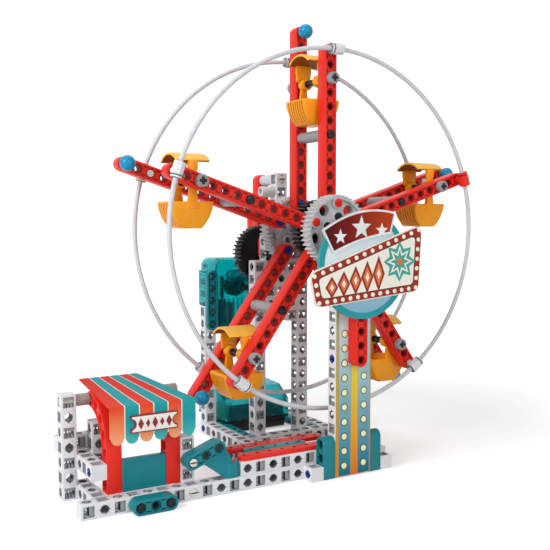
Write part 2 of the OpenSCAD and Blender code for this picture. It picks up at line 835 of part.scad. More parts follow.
module output_shaft() {
    color(black) {
        gear(out_cell, beam_deep, out_teeth, lay_module, out_turn);
        rod(out_cell - [0, gap_cells, 0], out_shaft_cells, ALONG_Y, pin_d);
        gear([out_cell.x, worm_wheel_y, out_cell.z], worm_wheel_cells, worm_wheel_teeth,
            worm_wheel_module, 0);
    }
}
out_turn = mesh_turn(lay_teeth, lay_turn, out_teeth, -90);
out_shaft_cells = 6.6;
worm_wheel_cells = 1;
worm_wheel_y = motor_cell.y - worm_wheel_cells * half_share;
worm_wheel_teeth = 20;
worm_wheel_share = 0.08;
worm_wheel_module = worm_wheel_share * pitch;

// Wheel

// Repeats its children on every arm of the wheel, about the wheel's axis along Y
module on_each_arm() {
    for (i = [0 : arm_count - 1]) on_arm(i) children();
}

// Places its children at the wheel's centre with X along one arm
module on_arm(i) {
    translate(at(wheel_cell)) rotate([0, -arm_angle(i), 0]) children();
}

module arm(y, holes) {
    translate([hub_pin_cell * pitch, (y + beam_deep) * pitch, 0]) rotate([90, 0, 0])
        linear_extrude(pitch) link_outline(holes);
}

module front_arms() {
    color(bright_red) on_each_arm() arm(front_arm_y, front_arm_holes);
}

module rear_arms() {
    color(bright_red) on_each_arm() arm(rear_arm_y, rear_arm_holes);
}

// One rim: five tube pieces, whose ends meet the webs in the middle of the clips
clip_angle = 5.8;
web_angle = 0.6;
module rim(y) {
    on_each_arm() translate([0, y * pitch, 0]) rotate([90, 0, 0])
        rotate([0, 0, web_angle / 2]) rotate_extrude(angle = arm_step - web_angle)
            translate([rim_cell * pitch, 0]) circle(d = rim_tube_d);
}

module front_rim() {
    color(white_grey) rim(front_rim_y);
}

module rear_rim() {
    color(white_grey) rim(rear_rim_y);
}

clip_share = 0.66;
clip_d = clip_share * pitch;
clip_stem_share = 0.56;
module rim_clip(rim_y, arm_face_y, arm_side) {
    stem = abs(arm_face_y - rim_y) * pitch;
    translate([0, rim_y * pitch, 0]) difference() {
        union() {
            rotate([90, 0, 0]) rotate([0, 0, -clip_angle / 2]) rotate_extrude(angle = clip_angle)
                translate([rim_cell * pitch, 0]) circle(d = clip_d);
            translate([rim_cell * pitch, 0, 0]) rotate([-90 * arm_side, 0, 0]) {
                cylinder(d = clip_stem_share * pitch, h = stem);
                cylinder(d = pin_d, h = stem + pitch);
            }
        }
        for (side = [-1, 1]) rotate([90, 0, 0]) rotate([0, 0, side < 0 ? -clip_angle : web_angle / 2])
            rotate_extrude(angle = clip_angle - web_angle / 2)
                translate([rim_cell * pitch, 0]) circle(d = rim_tube_d + 2 * play);
    }
}

module rim_clips() {
    color(white_grey) on_each_arm() {
        rim_clip(front_rim_y, front_arm_y, 1);
        rim_clip(rear_rim_y, rear_arm_y + beam_deep, -1);
    }
}

knob_y = 5.45;
module arm_knobs() {
    color(knob_blue) on_each_arm() translate([knob_cell * pitch, knob_y * pitch, 0]) {
        sphere(d = knob_d);
        rotate(TURNS[ALONG_Y]) cylinder(d = pin_d, h = (rear_arm_y + beam_deep - knob_y) * pitch);
    }
}

axle_span = [1.45, 7.6];
module gondola_axles() {
    color(black) on_each_arm() translate([gondola_cell * pitch, axle_span[0] * pitch, 0])
        rotate(TURNS[ALONG_Y]) cylinder(d = pin_d, h = (axle_span[1] - axle_span[0]) * pitch);
}

bush_cells = 0.5;
module axle_bushes() {
    color(mid_grey) {
        on_each_arm() for (y = [front_arm_y - bush_cells, rear_arm_y + beam_deep])
            translate([gondola_cell * pitch, y * pitch, 0]) bush(bush_cells);
        translate(at(wheel_cell + [0, hub_bush_y, 0])) bush(front_gear_y - hub_bush_y);
    }
}
hub_bush_y = 0.05;

module bush(cells) {
    rotate(TURNS[ALONG_Y]) difference() {
        cylinder(d = fat_tube_d, h = cells * pitch);
        translate([0, 0, -over]) cylinder(d = pin_d, h = cells * pitch + 2 * over);
    }
}

module arm_spacers() {
    color(mid_grey) {
        on_each_arm() translate([spacer_cell * pitch, (front_arm_y + beam_deep) * pitch, 0])
            bush(rear_arm_y - front_arm_y - beam_deep);
        translate(at(wheel_cell + [0, hub_gear_y + beam_deep, 0])) bush(rear_arm_y - hub_gear_y);
    }
}

// Pins of the hub and of the spacer tubes
module hub_pins() {
    color(pin_blue) on_each_arm() {
        arm_pin(hub_pin_cell, front_gear_y, front_arm_y + beam_deep - front_gear_y);
        arm_pin(hub_pin_cell, rear_arm_y, rear_gear_y + beam_deep - rear_arm_y);
        arm_pin(inner_pin_cell, front_gear_y, hub_gear_y + beam_deep - front_gear_y);
        arm_pin(spacer_cell, front_arm_y, rear_arm_y + beam_deep - front_arm_y);
    }
}

module arm_pin(r, y, cells) {
    translate([r * pitch, y * pitch, 0]) rotate(TURNS[ALONG_Y]) {
        cylinder(d = pin_d, h = cells * pitch);
        translate([0, 0, -pin_head_cells * pitch])
            cylinder(d = pin_head_d, h = pin_head_cells * pitch);
    }
}

main_axle_span = [-1, 10.2];
module main_axle() {
    color(black) rod(wheel_cell + [0, main_axle_span[0], 0], main_axle_span[1] - main_axle_span[0],
        ALONG_Y, pin_d);
}

// A large gear: a toothed ring and a hub, with a thinner web between them and holes at the arms
front_gear_y = 1;
rear_gear_y = 7;
web_r_cells = [0.5, 2.28];
web_recess_cells = 0.25;
window_r_cells = 1.78;
window_share = 0.84;
boss_share = 0.8;
module large_gear(y) {
    difference() {
        gear(wheel_cell + [0, y, 0], beam_deep, rim_teeth, gear_module, 0);
        for (face = [0, beam_deep - web_recess_cells]) web_ring(y + face);
        rod(wheel_cell + [0, y - over_cells, 0], beam_deep + 2 * over_cells, ALONG_Y, pin_d);
        on_each_arm() {
            for (r = [inner_pin_cell, hub_pin_cell]) gear_hole(r, y, hole_d);
            rotate([0, -arm_step / 2, 0]) gear_hole(window_r_cells, y, window_share * pitch);
        }
    }
}

// The recess in one face of a gear's web, with the bosses of the pin holes left standing
module web_ring(y) {
    translate(at(wheel_cell + [0, y + web_recess_cells, 0])) rotate([90, 0, 0])
        linear_extrude(web_recess_cells * pitch) difference() {
            circle(r = web_r_cells[1] * pitch);
            circle(r = web_r_cells[0] * pitch);
            for (i = [0 : arm_count - 1], r = [inner_pin_cell, hub_pin_cell])
                translate(on_circle(r * pitch, arm_angle(i))) circle(d = boss_share * pitch);
        }
}

module gear_hole(r, y, d) {
    translate([r * pitch, y * pitch - over, 0]) rotate(TURNS[ALONG_Y])
        cylinder(d = d, h = beam_deep * pitch + 2 * over);
}

module front_gear() {
    color(mid_grey) large_gear(front_gear_y);
}

hub_gear_y = 3;
module hub_gear() {
    color(black) difference() {
        gear(wheel_cell + [0, hub_gear_y, 0], beam_deep, lay_teeth, gear_module, 0);
        rod(wheel_cell + [0, hub_gear_y - over_cells, 0], beam_deep + 2 * over_cells, ALONG_Y, pin_d);
        on_each_arm() gear_hole(inner_pin_cell, hub_gear_y, hole_d);
    }
}

// The rear gear and the drive gear behind it are one moulding
module rear_gear() {
    color(mid_grey) difference() {
        union() {
            large_gear(rear_gear_y);
            gear(wheel_cell + [0, rear_gear_y + beam_deep, 0], gear_cells, drive_teeth, gear_module, 0);
        }
        rod(wheel_cell + [0, rear_gear_y - over_cells, 0], 2 * (beam_deep + over_cells), ALONG_Y, pin_d);
    }
}

// Gondolas

bucket_top_z = -1.35;
bucket_bottom_z = -3.2;
bucket_x_cells = [1.55, 0.8];
bucket_y_cells = [1.4, 1.1];
gondola_mid_y = 4.5;
ring_y = [3.5, 5.5];
ring_share = 1.3;
ring_cells = 0.7;
neck_cells = [0.6, 0.3];
roof_top_z = 2;
roof_edge_z = 1.35;
roof_x_cells = 1.55;
roof_y_cells = 1.4;
post_cells = [0.6, 0.3];
rear_post_cells = [1.3, 0.3];
groove_count = 7;
groove_step_cells = 0.3;
groove_w_cells = 0.1;
groove_depth_cells = 0.06;
groove_length_cells = 2.2;
form_length_cells = 4;

// A body that tapers both ways: two upright wedges, one seen from the front and one from the side
module bucket_form(wall) {
    top = bucket_top_z * pitch;
    bottom = bucket_bottom_z * pitch + wall;
    x = bucket_x_cells * pitch - [wall, wall];
    y = bucket_y_cells * pitch - [wall, wall];
    rise = wall > 0 ? over : 0;
    intersection() {
        rotate([90, 0, 0]) linear_extrude(form_length_cells * pitch, center = true) polygon([
            [-x[1], bottom], [x[1], bottom], [x[0], top], [x[0], top + rise], [-x[0], top + rise],
            [-x[0], top]
        ]);
        rotate([90, 0, 90]) linear_extrude(form_length_cells * pitch, center = true) polygon([
            [-y[1], bottom], [y[1], bottom], [y[0], top], [y[0], top + rise], [-y[0], top + rise],
            [-y[0], top]
        ]);
    }
}

module hanger_ring(side) {
    ring_mid = (ring_y[1] - gondola_mid_y) * pitch;
    wall_face = bucket_y_cells[0] * pitch;
    ring_r = ring_share * pitch / 2;
    translate([0, side * ring_mid, 0]) rotate([90, 0, 0])
        cylinder(r = ring_r, h = ring_cells * pitch, center = true);
    translate([-neck_cells[0] * pitch / 2, side > 0 ? wall_face - neck_cells[1] * pitch : -wall_face,
        bucket_top_z * pitch - bucket_wall])
        cube([neck_cells[0] * pitch, neck_cells[1] * pitch, -bucket_top_z * pitch + bucket_wall]);
}

module bucket() {
    difference() {
        union() {
            difference() {
                bucket_form(0);
                bucket_form(bucket_wall);
            }
            for (side = [-1, 1]) hanger_ring(side);
        }
        rotate([90, 0, 0]) cylinder(d = hole_d, h = form_length_cells * pitch, center = true);
        for (side = [-1, 1], i = [0 : groove_count - 1])
            bucket_groove(side, (i - (groove_count - 1) / 2) * groove_step_cells);
    }
}

// One groove down the sloping end of a bucket
module bucket_groove(side, y_cells) {
    slope = atan2(bucket_x_cells[0] - bucket_x_cells[1], bucket_top_z - bucket_bottom_z);
    middle = [
        side * (bucket_x_cells[0] + bucket_x_cells[1]) / 2, y_cells, (bucket_top_z + bucket_bottom_z) / 2
    ];
    translate(middle * pitch) rotate([0, side * slope, 0])
        cube([2 * groove_depth_cells, groove_w_cells, groove_length_cells] * pitch, center = true);
}

module canopy() {
    half_y = roof_y_cells * pitch;
    rise = (roof_top_z - roof_edge_z) * pitch - roof_t;
    arc_r = (half_y * half_y + rise * rise) / (2 * rise);
    ring_r = ring_share * pitch / 2;
    difference() {
        union() {
            rotate([90, 0, 90]) linear_extrude(2 * roof_x_cells * pitch, center = true) intersection() {
                translate([0, roof_top_z * pitch - roof_t - arc_r]) difference() {
                    circle(r = arc_r + roof_t);
                    circle(r = arc_r);
                }
                translate([-half_y, roof_edge_z * pitch]) square([2 * half_y, pitch]);
            }
            for (side = [-1, 1]) canopy_post(side);
        }
        rotate([90, 0, 0]) cylinder(r = ring_r + play, h = form_length_cells * pitch, center = true);
    }
}

module canopy_post(side) {
    cells = side < 0 ? post_cells : rear_post_cells;
    face = roof_y_cells * pitch;
    translate([-cells[0] * pitch / 2, side > 0 ? face - cells[1] * pitch : -face, 0])
        cube([cells[0] * pitch, cells[1] * pitch, roof_edge_z * pitch + roof_t / 2]);
}

module gondola(i) {
    angle = arm_angle(i);
    translate(at(spoke(gondola_cell, gondola_mid_y, angle))) {
        color(orange) bucket();
        color(yellow) canopy();
    }
}

base_front_beam();
base_cross_beams();
base_foot_beams();
base_rails();
short_beams();
short_posts();
teal_links();
flat_strips_teal();
flat_strips_red();
ramp_arm();
column_posts();
column_blocks();
column_card();
booth_corner_post();
booth_side_beams();
booth_roof_tube();
booth_bent_beams();
booth_panels();
booth_awning();
sign_mast();
sign_disc();
sign_banner();
sign_marquee();
tower_posts();
tower_connectors();
tower_axle_post();
tower_back_beam();
tower_rear_beam();
tower_spacers();
gearbox_shell();
gearbox_motor();
battery_box();
battery_lid();
battery_cells();
stand_pins_blue();
stand_pins_light();
power_switch();
lay_shaft();
lay_gear();
output_shaft();
motor_worm();
front_arms();
rear_arms();
front_rim();
rear_rim();
rim_clips();
arm_knobs();
gondola_axles();
axle_bushes();
arm_spacers();
hub_pins();
main_axle();
front_gear();
hub_gear();
rear_gear();
gondola(0);  // gondola_1
gondola(1);  // gondola_2
gondola(2);  // gondola_3
gondola(3);  // gondola_4
gondola(4);  // gondola_5
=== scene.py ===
"""Looks of a motor driven toy ferris wheel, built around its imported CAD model.

Places are written in cells of the toy's square grid, as in the part's source, from the front left
corner of the front base beam. X runs right, Y runs back and Z runs up.
"""

import json
import math

import bmesh
import bpy
from mathutils import Matrix, Vector


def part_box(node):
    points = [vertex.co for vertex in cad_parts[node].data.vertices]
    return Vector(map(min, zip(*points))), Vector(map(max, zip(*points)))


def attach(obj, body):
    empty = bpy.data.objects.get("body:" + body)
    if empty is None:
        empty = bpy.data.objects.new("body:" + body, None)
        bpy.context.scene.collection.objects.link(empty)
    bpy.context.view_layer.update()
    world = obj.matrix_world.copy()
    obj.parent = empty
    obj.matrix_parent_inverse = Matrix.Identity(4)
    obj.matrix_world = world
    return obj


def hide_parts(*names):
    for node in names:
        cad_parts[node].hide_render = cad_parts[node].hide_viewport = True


bl_info = {
    "name": "Toy Ferris Wheel",
    "version": (1, 0, 0),
    "blender": (4, 5, 0),
    "location": "View3D > Sidebar > Ferris Wheel",
    "description": "Dresses the toy ferris wheel's frame with its detailed pieces and finishes",
    "category": "Object",
}

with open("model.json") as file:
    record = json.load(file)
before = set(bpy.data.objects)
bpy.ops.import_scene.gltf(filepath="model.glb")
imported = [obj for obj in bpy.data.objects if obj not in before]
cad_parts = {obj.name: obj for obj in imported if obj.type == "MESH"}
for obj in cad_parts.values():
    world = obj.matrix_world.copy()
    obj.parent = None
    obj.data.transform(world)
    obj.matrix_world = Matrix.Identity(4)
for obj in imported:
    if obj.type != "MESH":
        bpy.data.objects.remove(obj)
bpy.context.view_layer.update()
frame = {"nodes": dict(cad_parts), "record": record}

# The grid, from the front base beam, which is one cell high
GRID_CORNER, GRID_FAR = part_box("base_front_beam")
CELL = GRID_FAR.z - GRID_CORNER.z
TO_METRES = Matrix.Translation(GRID_CORNER) @ Matrix.Scale(CELL, 4)

X, Y, Z = 0, 1, 2
AXES = (Vector((1, 0, 0)), Vector((0, 1, 0)), Vector((0, 0, 1)))
OVER = 0.1
MERGE = 0.002
SMOOTH_ANGLE = math.radians(35)
KNOB_SMOOTH_ANGLE = math.radians(50)
SHARP = 50

# What pieces of many kinds share
HOLE_R = 0.26
PIN_R = 0.25
STAND_PIN_R = 0.24
SOFT_EDGE = 0.045

# The wheel
WHEEL = Vector((19.5, 0, 17.5))
ARM_ANGLES = [18 + 72 * i for i in range(5)]


def tone(code):
    """Linear colour of a colour written as six hexadecimal digits."""
    parts = [int(code[i:i + 2], 16) / 255 for i in (0, 2, 4)]
    return tuple(p / 12.92 if p <= 0.04045 else ((p + 0.055) / 1.055) ** 2.4 for p in parts)


def colour(label, code, note):
    return bpy.props.FloatVectorProperty(
        name=label, description=note, subtype="COLOR", size=3, min=0, max=1, default=tone(code)
    )


def cells(label, value, note):
    return bpy.props.FloatProperty(name=label, description=note, default=value, min=0, precision=3)


class WheelToyColours(bpy.types.PropertyGroup):
    beam: colour("Beams", "E6E7E9", "Colour of the square beams")
    red: colour("Red links", "EA2A1C", "Colour of the arms, the mast and the bent beams")
    teal: colour("Teal links", "12808A", "Colour of the teal links, strips and panel")
    clear: colour("Clear teal", "2CC4C8", "Colour of the see-through gearbox and battery lid")
    bucket: colour("Buckets", "FCA41A", "Colour of the gondola buckets")
    canopy: colour("Canopies", "F9BE45", "Colour of the gondola canopies")
    gear: colour("Large gears", "CDCFD1", "Colour of the two large gears")
    knob: colour("Knobs", "008CB8", "Colour of the ball knobs")
    rim: colour("Rims", "D3D6D9", "Colour of the rim tubes and the spacer tubes")


class WheelToySizes(bpy.types.PropertyGroup):
    edge: cells("Edge", 0.035, "Rounding of a beam's long edges, in cells")
    bore: cells("Bore", 0.29, "Radius of the round holes, in cells")
    lobe: cells("Lobe", 0.39, "Reach of the pointed lobes beside a beam's hole, in cells")
    recess: cells("Recess", 0.35, "Half the width of a beam's square recess, in cells")
    groove: cells("Groove", 0.1, "Depth of the grooves in a bucket's ends, in cells")
    bulb: cells("Bulb", 0.22, "Radius of a bulb on the column's card, in cells")


def colours():
    return bpy.context.scene.wheel_toy_colours


def sizes():
    return bpy.context.scene.wheel_toy_sizes


# Small tools for modelling

def select_only(obj):
    bpy.ops.object.select_all(action="DESELECT")
    obj.select_set(True)
    bpy.context.view_layer.objects.active = obj


def edit(obj, pick, kind="FACE"):
    """Opens edit mode with only the faces or edges picked by a test."""
    select_only(obj)
    bpy.ops.object.mode_set(mode="EDIT")
    bpy.ops.mesh.select_mode(type=kind)
    bpy.ops.mesh.select_all(action="DESELECT")
    mesh = bmesh.from_edit_mesh(obj.data)
    for part in mesh.faces if kind == "FACE" else mesh.edges:
        if pick(part):
            part.select_set(True)
    mesh.select_flush_mode()
    bmesh.update_edit_mesh(obj.data)


def leave():
    bpy.ops.object.mode_set(mode="OBJECT")


def added(add, **form):
    """Adds a primitive with nothing else selected."""
    bpy.ops.object.select_all(action="DESELECT")
    add(**form)
    return bpy.context.object


def apply_place(obj):
    select_only(obj)
    bpy.ops.object.transform_apply(location=True, rotation=True, scale=True)
    return obj


def box(low, high):
    """A box between two corners."""
    low, high = Vector(low), Vector(high)
    obj = added(bpy.ops.mesh.primitive_cube_add, size=1, location=(low + high) / 2)
    obj.scale = high - low
    return apply_place(obj)


def bar(*spans):
    """A box between two places on each axis, given in any order."""
    return box([min(span) for span in spans], [max(span) for span in spans])


def drum(start, axis, length, radius, sides=32, turn=0):
    """A cylinder from the middle of its first face along an axis."""
    obj = added(bpy.ops.mesh.primitive_cylinder_add, vertices=sides, radius=radius, depth=length)
    lay = AXES[Z].rotation_difference(AXES[axis]).to_matrix().to_4x4()
    middle = Vector(start) + AXES[axis] * length / 2
    obj.matrix_world = Matrix.Translation(middle) @ lay @ Matrix.Rotation(turn, 4, "Z")
    return apply_place(obj)


def hole(start, axis, length, radius=HOLE_R):
    """The tool for a round hole, a little longer than the hole at both ends."""
    return drum(Vector(start) - AXES[axis] * OVER, axis, length + 2 * OVER, radius, 24)


def copy_of(obj, place):
    """A copy with its own mesh, placed by a matrix."""
    twin = obj.copy()
    twin.data = obj.data.copy()
    bpy.context.scene.collection.objects.link(twin)
    twin.data.transform(place)
    return twin


def join(parts):
    bpy.ops.object.select_all(action="DESELECT")
    for part in parts:
        part.select_set(True)
    bpy.context.view_layer.objects.active = parts[0]
    if len(parts) > 1:
        bpy.ops.object.join()
    return bpy.context.object


def drop(obj):
    bpy.data.objects.remove(obj)


def cut(obj, tools, operation="DIFFERENCE"):
    """Takes the tools away from a solid, or joins them to it."""
    tool = join(tools)
    select_only(obj)
    change = obj.modifiers.new("cut", "BOOLEAN")
    change.operation = operation
    change.solver = "EXACT"
    change.use_self = True
    change.object = tool
    bpy.ops.object.modifier_apply(modifier=change.name)
    drop(tool)
    return obj


def round_edges(obj, width, segments=2, angle=30):
    """Rounds the edges that are sharper than an angle."""
    select_only(obj)
    change = obj.modifiers.new("edge", "BEVEL")
    change.width = width
    change.segments = segments
    change.limit_method = "ANGLE"
    change.angle_limit = math.radians(angle)
    change.harden_normals = False
    bpy.ops.object.modifier_apply(modifier=change.name)
    return obj


def inset(obj, pick, *steps, each=False):
    """Insets the picked faces again and again, each time with its own width and depth."""
    edit(obj, pick)
    for width, depth in steps:
        bpy.ops.mesh.inset(thickness=width, depth=depth, use_individual=each)
    leave()


def tidy_mesh(obj, recalculate=True):
    edit(obj, lambda part: True)
    bpy.ops.mesh.remove_doubles(threshold=MERGE)
    if recalculate:
        bpy.ops.mesh.normals_make_consistent(inside=False)
    leave()


def open_up(obj, pick):
    """Takes picked faces away."""
    edit(obj, pick)
    bpy.ops.mesh.delete(type="FACE")
    leave()


def close_up(obj):
    """Fills each open edge loop with a face."""
    edit(obj, lambda part: True)
    bpy.ops.mesh.fill_holes(sides=0)
    leave()


def plate(points, front, deep):
    """A flat board with an outline in X and Z, its face towards the front."""
    obj = added(bpy.ops.mesh.primitive_circle_add, vertices=len(points), fill_type="NGON")
    for vertex, point in zip(obj.data.vertices, points):
        vertex.co = (point[0], front, point[1])
    edit(obj, lambda part: True)
    bpy.ops.mesh.extrude_region_move(TRANSFORM_OT_translate={"value": (0, deep, 0)})
    bpy.ops.mesh.select_all(action="SELECT")
    bpy.ops.mesh.normals_make_consistent(inside=False)
    leave()
    return obj


def on_side(points, x0, x1):
    """A solid with an outline in Y and Z, from one X to another."""
    solid = plate(points, 0, x1 - x0)
    solid.data.transform(place_along((0, 1, 0), (-1, 0, 0), (x1, 0, 0)))
    tidy_mesh(solid)
    return solid


def face_front(obj, *steps):
    """Insets a board's front face again and again, each time with its own width and depth."""
    front = min(v.co.y for v in obj.data.vertices) + 0.001
    inset(obj, lambda f: f.calc_center_median().y < front and f.normal.y < -0.9, *steps)


def front_field(obj):
    """The number of a board's largest face towards the front."""
    return max(obj.data.polygons, key=lambda f: f.area * (f.normal.y < -0.9)).index


def arc(x, y, radius, start, sweep, steps):
    """Points about a middle, from an angle through a sweep."""
    points = []
    for k in range(steps + 1):
        a = math.radians(start + sweep * k / steps)
        points.append((x + radius * math.cos(a), y + radius * math.sin(a)))
    return points


def curve(start, pull, end, steps):
    """Points of an even curve between two ends, drawn towards a third point."""
    points = []
    for k in range(steps + 1):
        t = k / steps
        points.append((1 - t) ** 2 * start + 2 * t * (1 - t) * pull + t * t * end)
    return points


def star(middle, outer, inner, points):
    """The outline of a star with a point straight up."""
    outline = []
    for i in range(2 * points):
        r = outer if i % 2 == 0 else inner
        a = math.radians(90 + 180 * i / points)
        outline.append((middle[0] + r * math.cos(a), middle[1] + r * math.sin(a)))
    return outline


def place_along(x_axis, y_axis, origin):
    """The matrix that lays a piece's own X and Y along two directions."""
    x_axis, y_axis = Vector(x_axis), Vector(y_axis)
    turn = Matrix((x_axis, y_axis, x_axis.cross(y_axis))).transposed().to_4x4()
    return Matrix.Translation(origin) @ turn


def upright(angle, origin):
    """The matrix that stands a flat piece up: X at an angle above the floor, Z to the front."""
    a = math.radians(angle)
    return place_along((math.cos(a), 0, math.sin(a)), (-math.sin(a), 0, math.cos(a)), origin)


def spoke(radius, angle, y=0):
    """A place in the wheel, at a distance from its axle along an angle."""
    a = math.radians(angle)
    return WHEEL + Vector((radius * math.cos(a), y, radius * math.sin(a)))


# Finishes

SHINE = 0.25
PRINT_SHINE = 0.1
PRINT_ROUGH = 0.5
CLEAR_IOR = 1.2


def shade_of(code):
    """The panel's colour of that name, or else the colour that a code writes."""
    return getattr(colours(), code, None) or tone(code)


def new_finish(name):
    finish = bpy.data.materials.new(name)
    finish.use_nodes = True
    nodes, links = finish.node_tree.nodes, finish.node_tree.links
    return finish, nodes, links, nodes["Principled BSDF"]


def noise(nodes, links, where, scale, detail):
    pattern = nodes.new("ShaderNodeTexNoise")
    pattern.inputs["Scale"].default_value = scale
    pattern.inputs["Detail"].default_value = detail
    links.new(where.outputs["Object"], pattern.inputs["Vector"])
    return pattern.outputs["Fac"]


def span_of(nodes, given, wanted):
    """A map range node from one range to another."""
    span = nodes.new("ShaderNodeMapRange")
    span.inputs["From Min"].default_value, span.inputs["From Max"].default_value = given
    span.inputs["To Min"].default_value, span.inputs["To Max"].default_value = wanted
    return span


def colour_by(nodes, links, value, stops):
    """Gives a finish its colour from a value that runs through stops."""
    ramp = nodes.new("ShaderNodeValToRGB")
    while len(ramp.color_ramp.elements) < len(stops):
        ramp.color_ramp.elements.new(0.5)
    for i, (position, shade) in enumerate(stops):
        ramp.color_ramp.elements[i].position = position
        ramp.color_ramp.elements[i].color = (*shade, 1)
    links.new(value, ramp.inputs["Fac"])
    links.new(ramp.outputs["Color"], nodes["Principled BSDF"].inputs["Base Color"])


def relief_by(nodes, links, value, strength, distance=0.0001):
    """Gives a finish its fine relief from a value."""
    relief = nodes.new("ShaderNodeBump")
    relief.inputs["Strength"].default_value = strength
    relief.inputs["Distance"].default_value = distance
    links.new(value, relief.inputs["Height"])
    links.new(relief.outputs["Normal"], nodes["Principled BSDF"].inputs["Normal"])


def plastic(name, code, rough=0.34, drift=0.05, bump=0.12, coat=0.0, grain=2600):
    """Moulded plastic: a slight drift of colour and gloss, and the fine grain of its mould."""
    finish, nodes, links, shader = new_finish(name)
    where = nodes.new("ShaderNodeTexCoord")
    base = shade_of(code)
    dark, pale = [c * (1 - drift) for c in base], [min(1, c * (1 + drift)) for c in base]
    colour_by(nodes, links, noise(nodes, links, where, 70, 3), ((0.3, dark), (0.7, pale)))
    spread = span_of(nodes, (0, 1), (rough - 0.06, rough + 0.08))
    links.new(noise(nodes, links, where, 140, 3), spread.inputs["Value"])
    links.new(spread.outputs["Result"], shader.inputs["Roughness"])
    relief_by(nodes, links, noise(nodes, links, where, grain, 2), bump)
    shader.inputs["Coat Weight"].default_value = coat
    shader.inputs["Specular IOR Level"].default_value = SHINE
    return finish


def clear_plastic(name, code, rough=0.08, transmission=0.92):
    """See-through tinted plastic with slight flow marks."""
    finish, nodes, links, shader = new_finish(name)
    where = nodes.new("ShaderNodeTexCoord")
    base = shade_of(code)
    dark, pale = [c * 0.8 for c in base], [min(1, c * 1.15) for c in base]
    colour_by(nodes, links, noise(nodes, links, where, 45, 3), ((0, dark), (1, pale)))
    relief_by(nodes, links, noise(nodes, links, where, 220, 2), 0.15, 0.0002)
    shader.inputs["Roughness"].default_value = rough
    shader.inputs["Transmission Weight"].default_value = transmission
    shader.inputs["IOR"].default_value = CLEAR_IOR
    return finish


def metal(name, code, rough=0.3):
    """Brushed metal with fine scratches."""
    finish = plastic(name, code, rough, drift=0.1, bump=0.2, grain=1500)
    finish.node_tree.nodes["Principled BSDF"].inputs["Metallic"].default_value = 0.9
    return finish


def shaded_print(name, axis, low, high, *stops):
    """Gloss print whose colour runs through stops along an axis, from one cell to another."""
    finish, nodes, links, shader = new_finish(name)
    where = nodes.new("ShaderNodeTexCoord")
    split = nodes.new("ShaderNodeSeparateXYZ")
    links.new(where.outputs["Object"], split.inputs["Vector"])
    ends = [(TO_METRES @ (AXES[axis] * place))[axis] for place in (low, high)]
    span = span_of(nodes, ends, (0, 1))
    links.new(split.outputs[axis], span.inputs["Value"])
    colour_by(nodes, links, span.outputs["Result"], [(place, tone(code)) for place, code in stops])
    relief_by(nodes, links, noise(nodes, links, where, 900, 2), 0.08)
    shader.inputs["Roughness"].default_value = PRINT_ROUGH
    shader.inputs["Specular IOR Level"].default_value = PRINT_SHINE
    return finish


# A plastic's row has its name, its colour, its roughness, its drift and its grain's strength
FINISHES = {
    "beam_grey": (plastic, "moulded white beam", "beam", 0.36, 0.02),
    # Painted shade: the grey of a beam's recesses and the darker grey of its bores, lobes and slots stand
    # in for the shade in its hollows
    "beam_recess": (plastic, "beam recess", "AEB1B5", 0.5, 0.02),
    "beam_bore": (plastic, "beam bore", "7E8287", 0.55, 0.02),
    "beam_red": (plastic, "moulded red link", "red", 0.4, 0.04),
    "awning_stripe": (plastic, "moulded red link", "red", 0.4, 0.04),
    # Painted shade: a darker red for the holes, hexagons and dashes of the red links
    "red_recess_shade": (plastic, "red link recess", "9E1410", 0.5, 0.04),
    "link_teal": (plastic, "moulded teal link", "teal", 0.36, 0.05),
    "board_teal": (plastic, "moulded teal link", "teal", 0.36, 0.05),
    # Painted shade: a darker teal for the holes, hexagons and dashes of the teal links
    "teal_recess_shade": (plastic, "teal link recess", "0A4A52", 0.5, 0.05),
    "card_blue": (plastic, "blue card", "5E93A8", 0.4),
    "tube_brown": (plastic, "warm grey tube", "9C908C", 0.4),
    "tube_white": (plastic, "white tube", "rim", 0.45, 0.02, 0.03),
    "board_red": (plastic, "dark red print", "9A281C", 0.42, 0.05),
    "board_cream": (plastic, "cream board", "FBF5E8", 0.5, 0.02),
    "black_plastic": (plastic, "moulded black plastic", "17171A", 0.3, 0.1),
    "grey_plastic": (plastic, "moulded grey gear", "gear", 0.38, 0.03),
    "bush_grey": (plastic, "moulded grey bush", "9A9A9C", 0.36, 0.04),
    "cell_wrap": (plastic, "cell wrap", "2E7D54", 0.25),
    "pin_blue": (plastic, "blue pin", "16358A", 0.32, 0.06),
    "pin_light": (plastic, "ivory pin", "E4E1DA", 0.34, 0.03),
    "knob_blue": (plastic, "glossy blue knob", "knob", 0.24, 0.05, 0.03, 0.05),
    "gondola_orange": (plastic, "moulded orange bucket", "bucket", 0.36, 0.05),
    # Painted shade: a darker orange inside the bucket's grooves
    "groove_shade_orange": (plastic, "bucket groove", "A85A08", 0.5, 0.05),
    "canopy_yellow": (plastic, "moulded yellow canopy", "canopy", 0.36, 0.04),
    # Painted shade: a dark orange on the canopy's downward faces, for the shade under its roof
    "canopy_under": (plastic, "canopy underside", "8E4C10", 0.5, 0.05),
    "case_clear_teal": (clear_plastic, "clear teal case", "clear"),
    "clear_cover": (clear_plastic, "clear teal cover", "46CDD0", 0.1, 0.9),
    "metal_can": (metal, "motor can", "7F8488"),
    "brass_worm": (metal, "brass worm", "B98F3C", 0.28),
    "screw_steel": (metal, "screw steel", "B4B7BA", 0.28),
}


def finish_of(key):
    """The finish of a slot or of a small part, made when it is first asked for."""
    make, name, *row = FINISHES[key]
    return bpy.data.materials.get(name) or make(name, *row)


def paint(obj, keys, choose):
    """Gives each face the finish whose number a test returns for it."""
    obj.data.materials.clear()
    for key in keys:
        obj.data.materials.append(finish_of(key))
    for face in obj.data.polygons:
        face.material_index = choose(face)


def coated(obj, key):
    """Gives a whole solid one finish."""
    paint(obj, [key], lambda face: 0)
    return obj


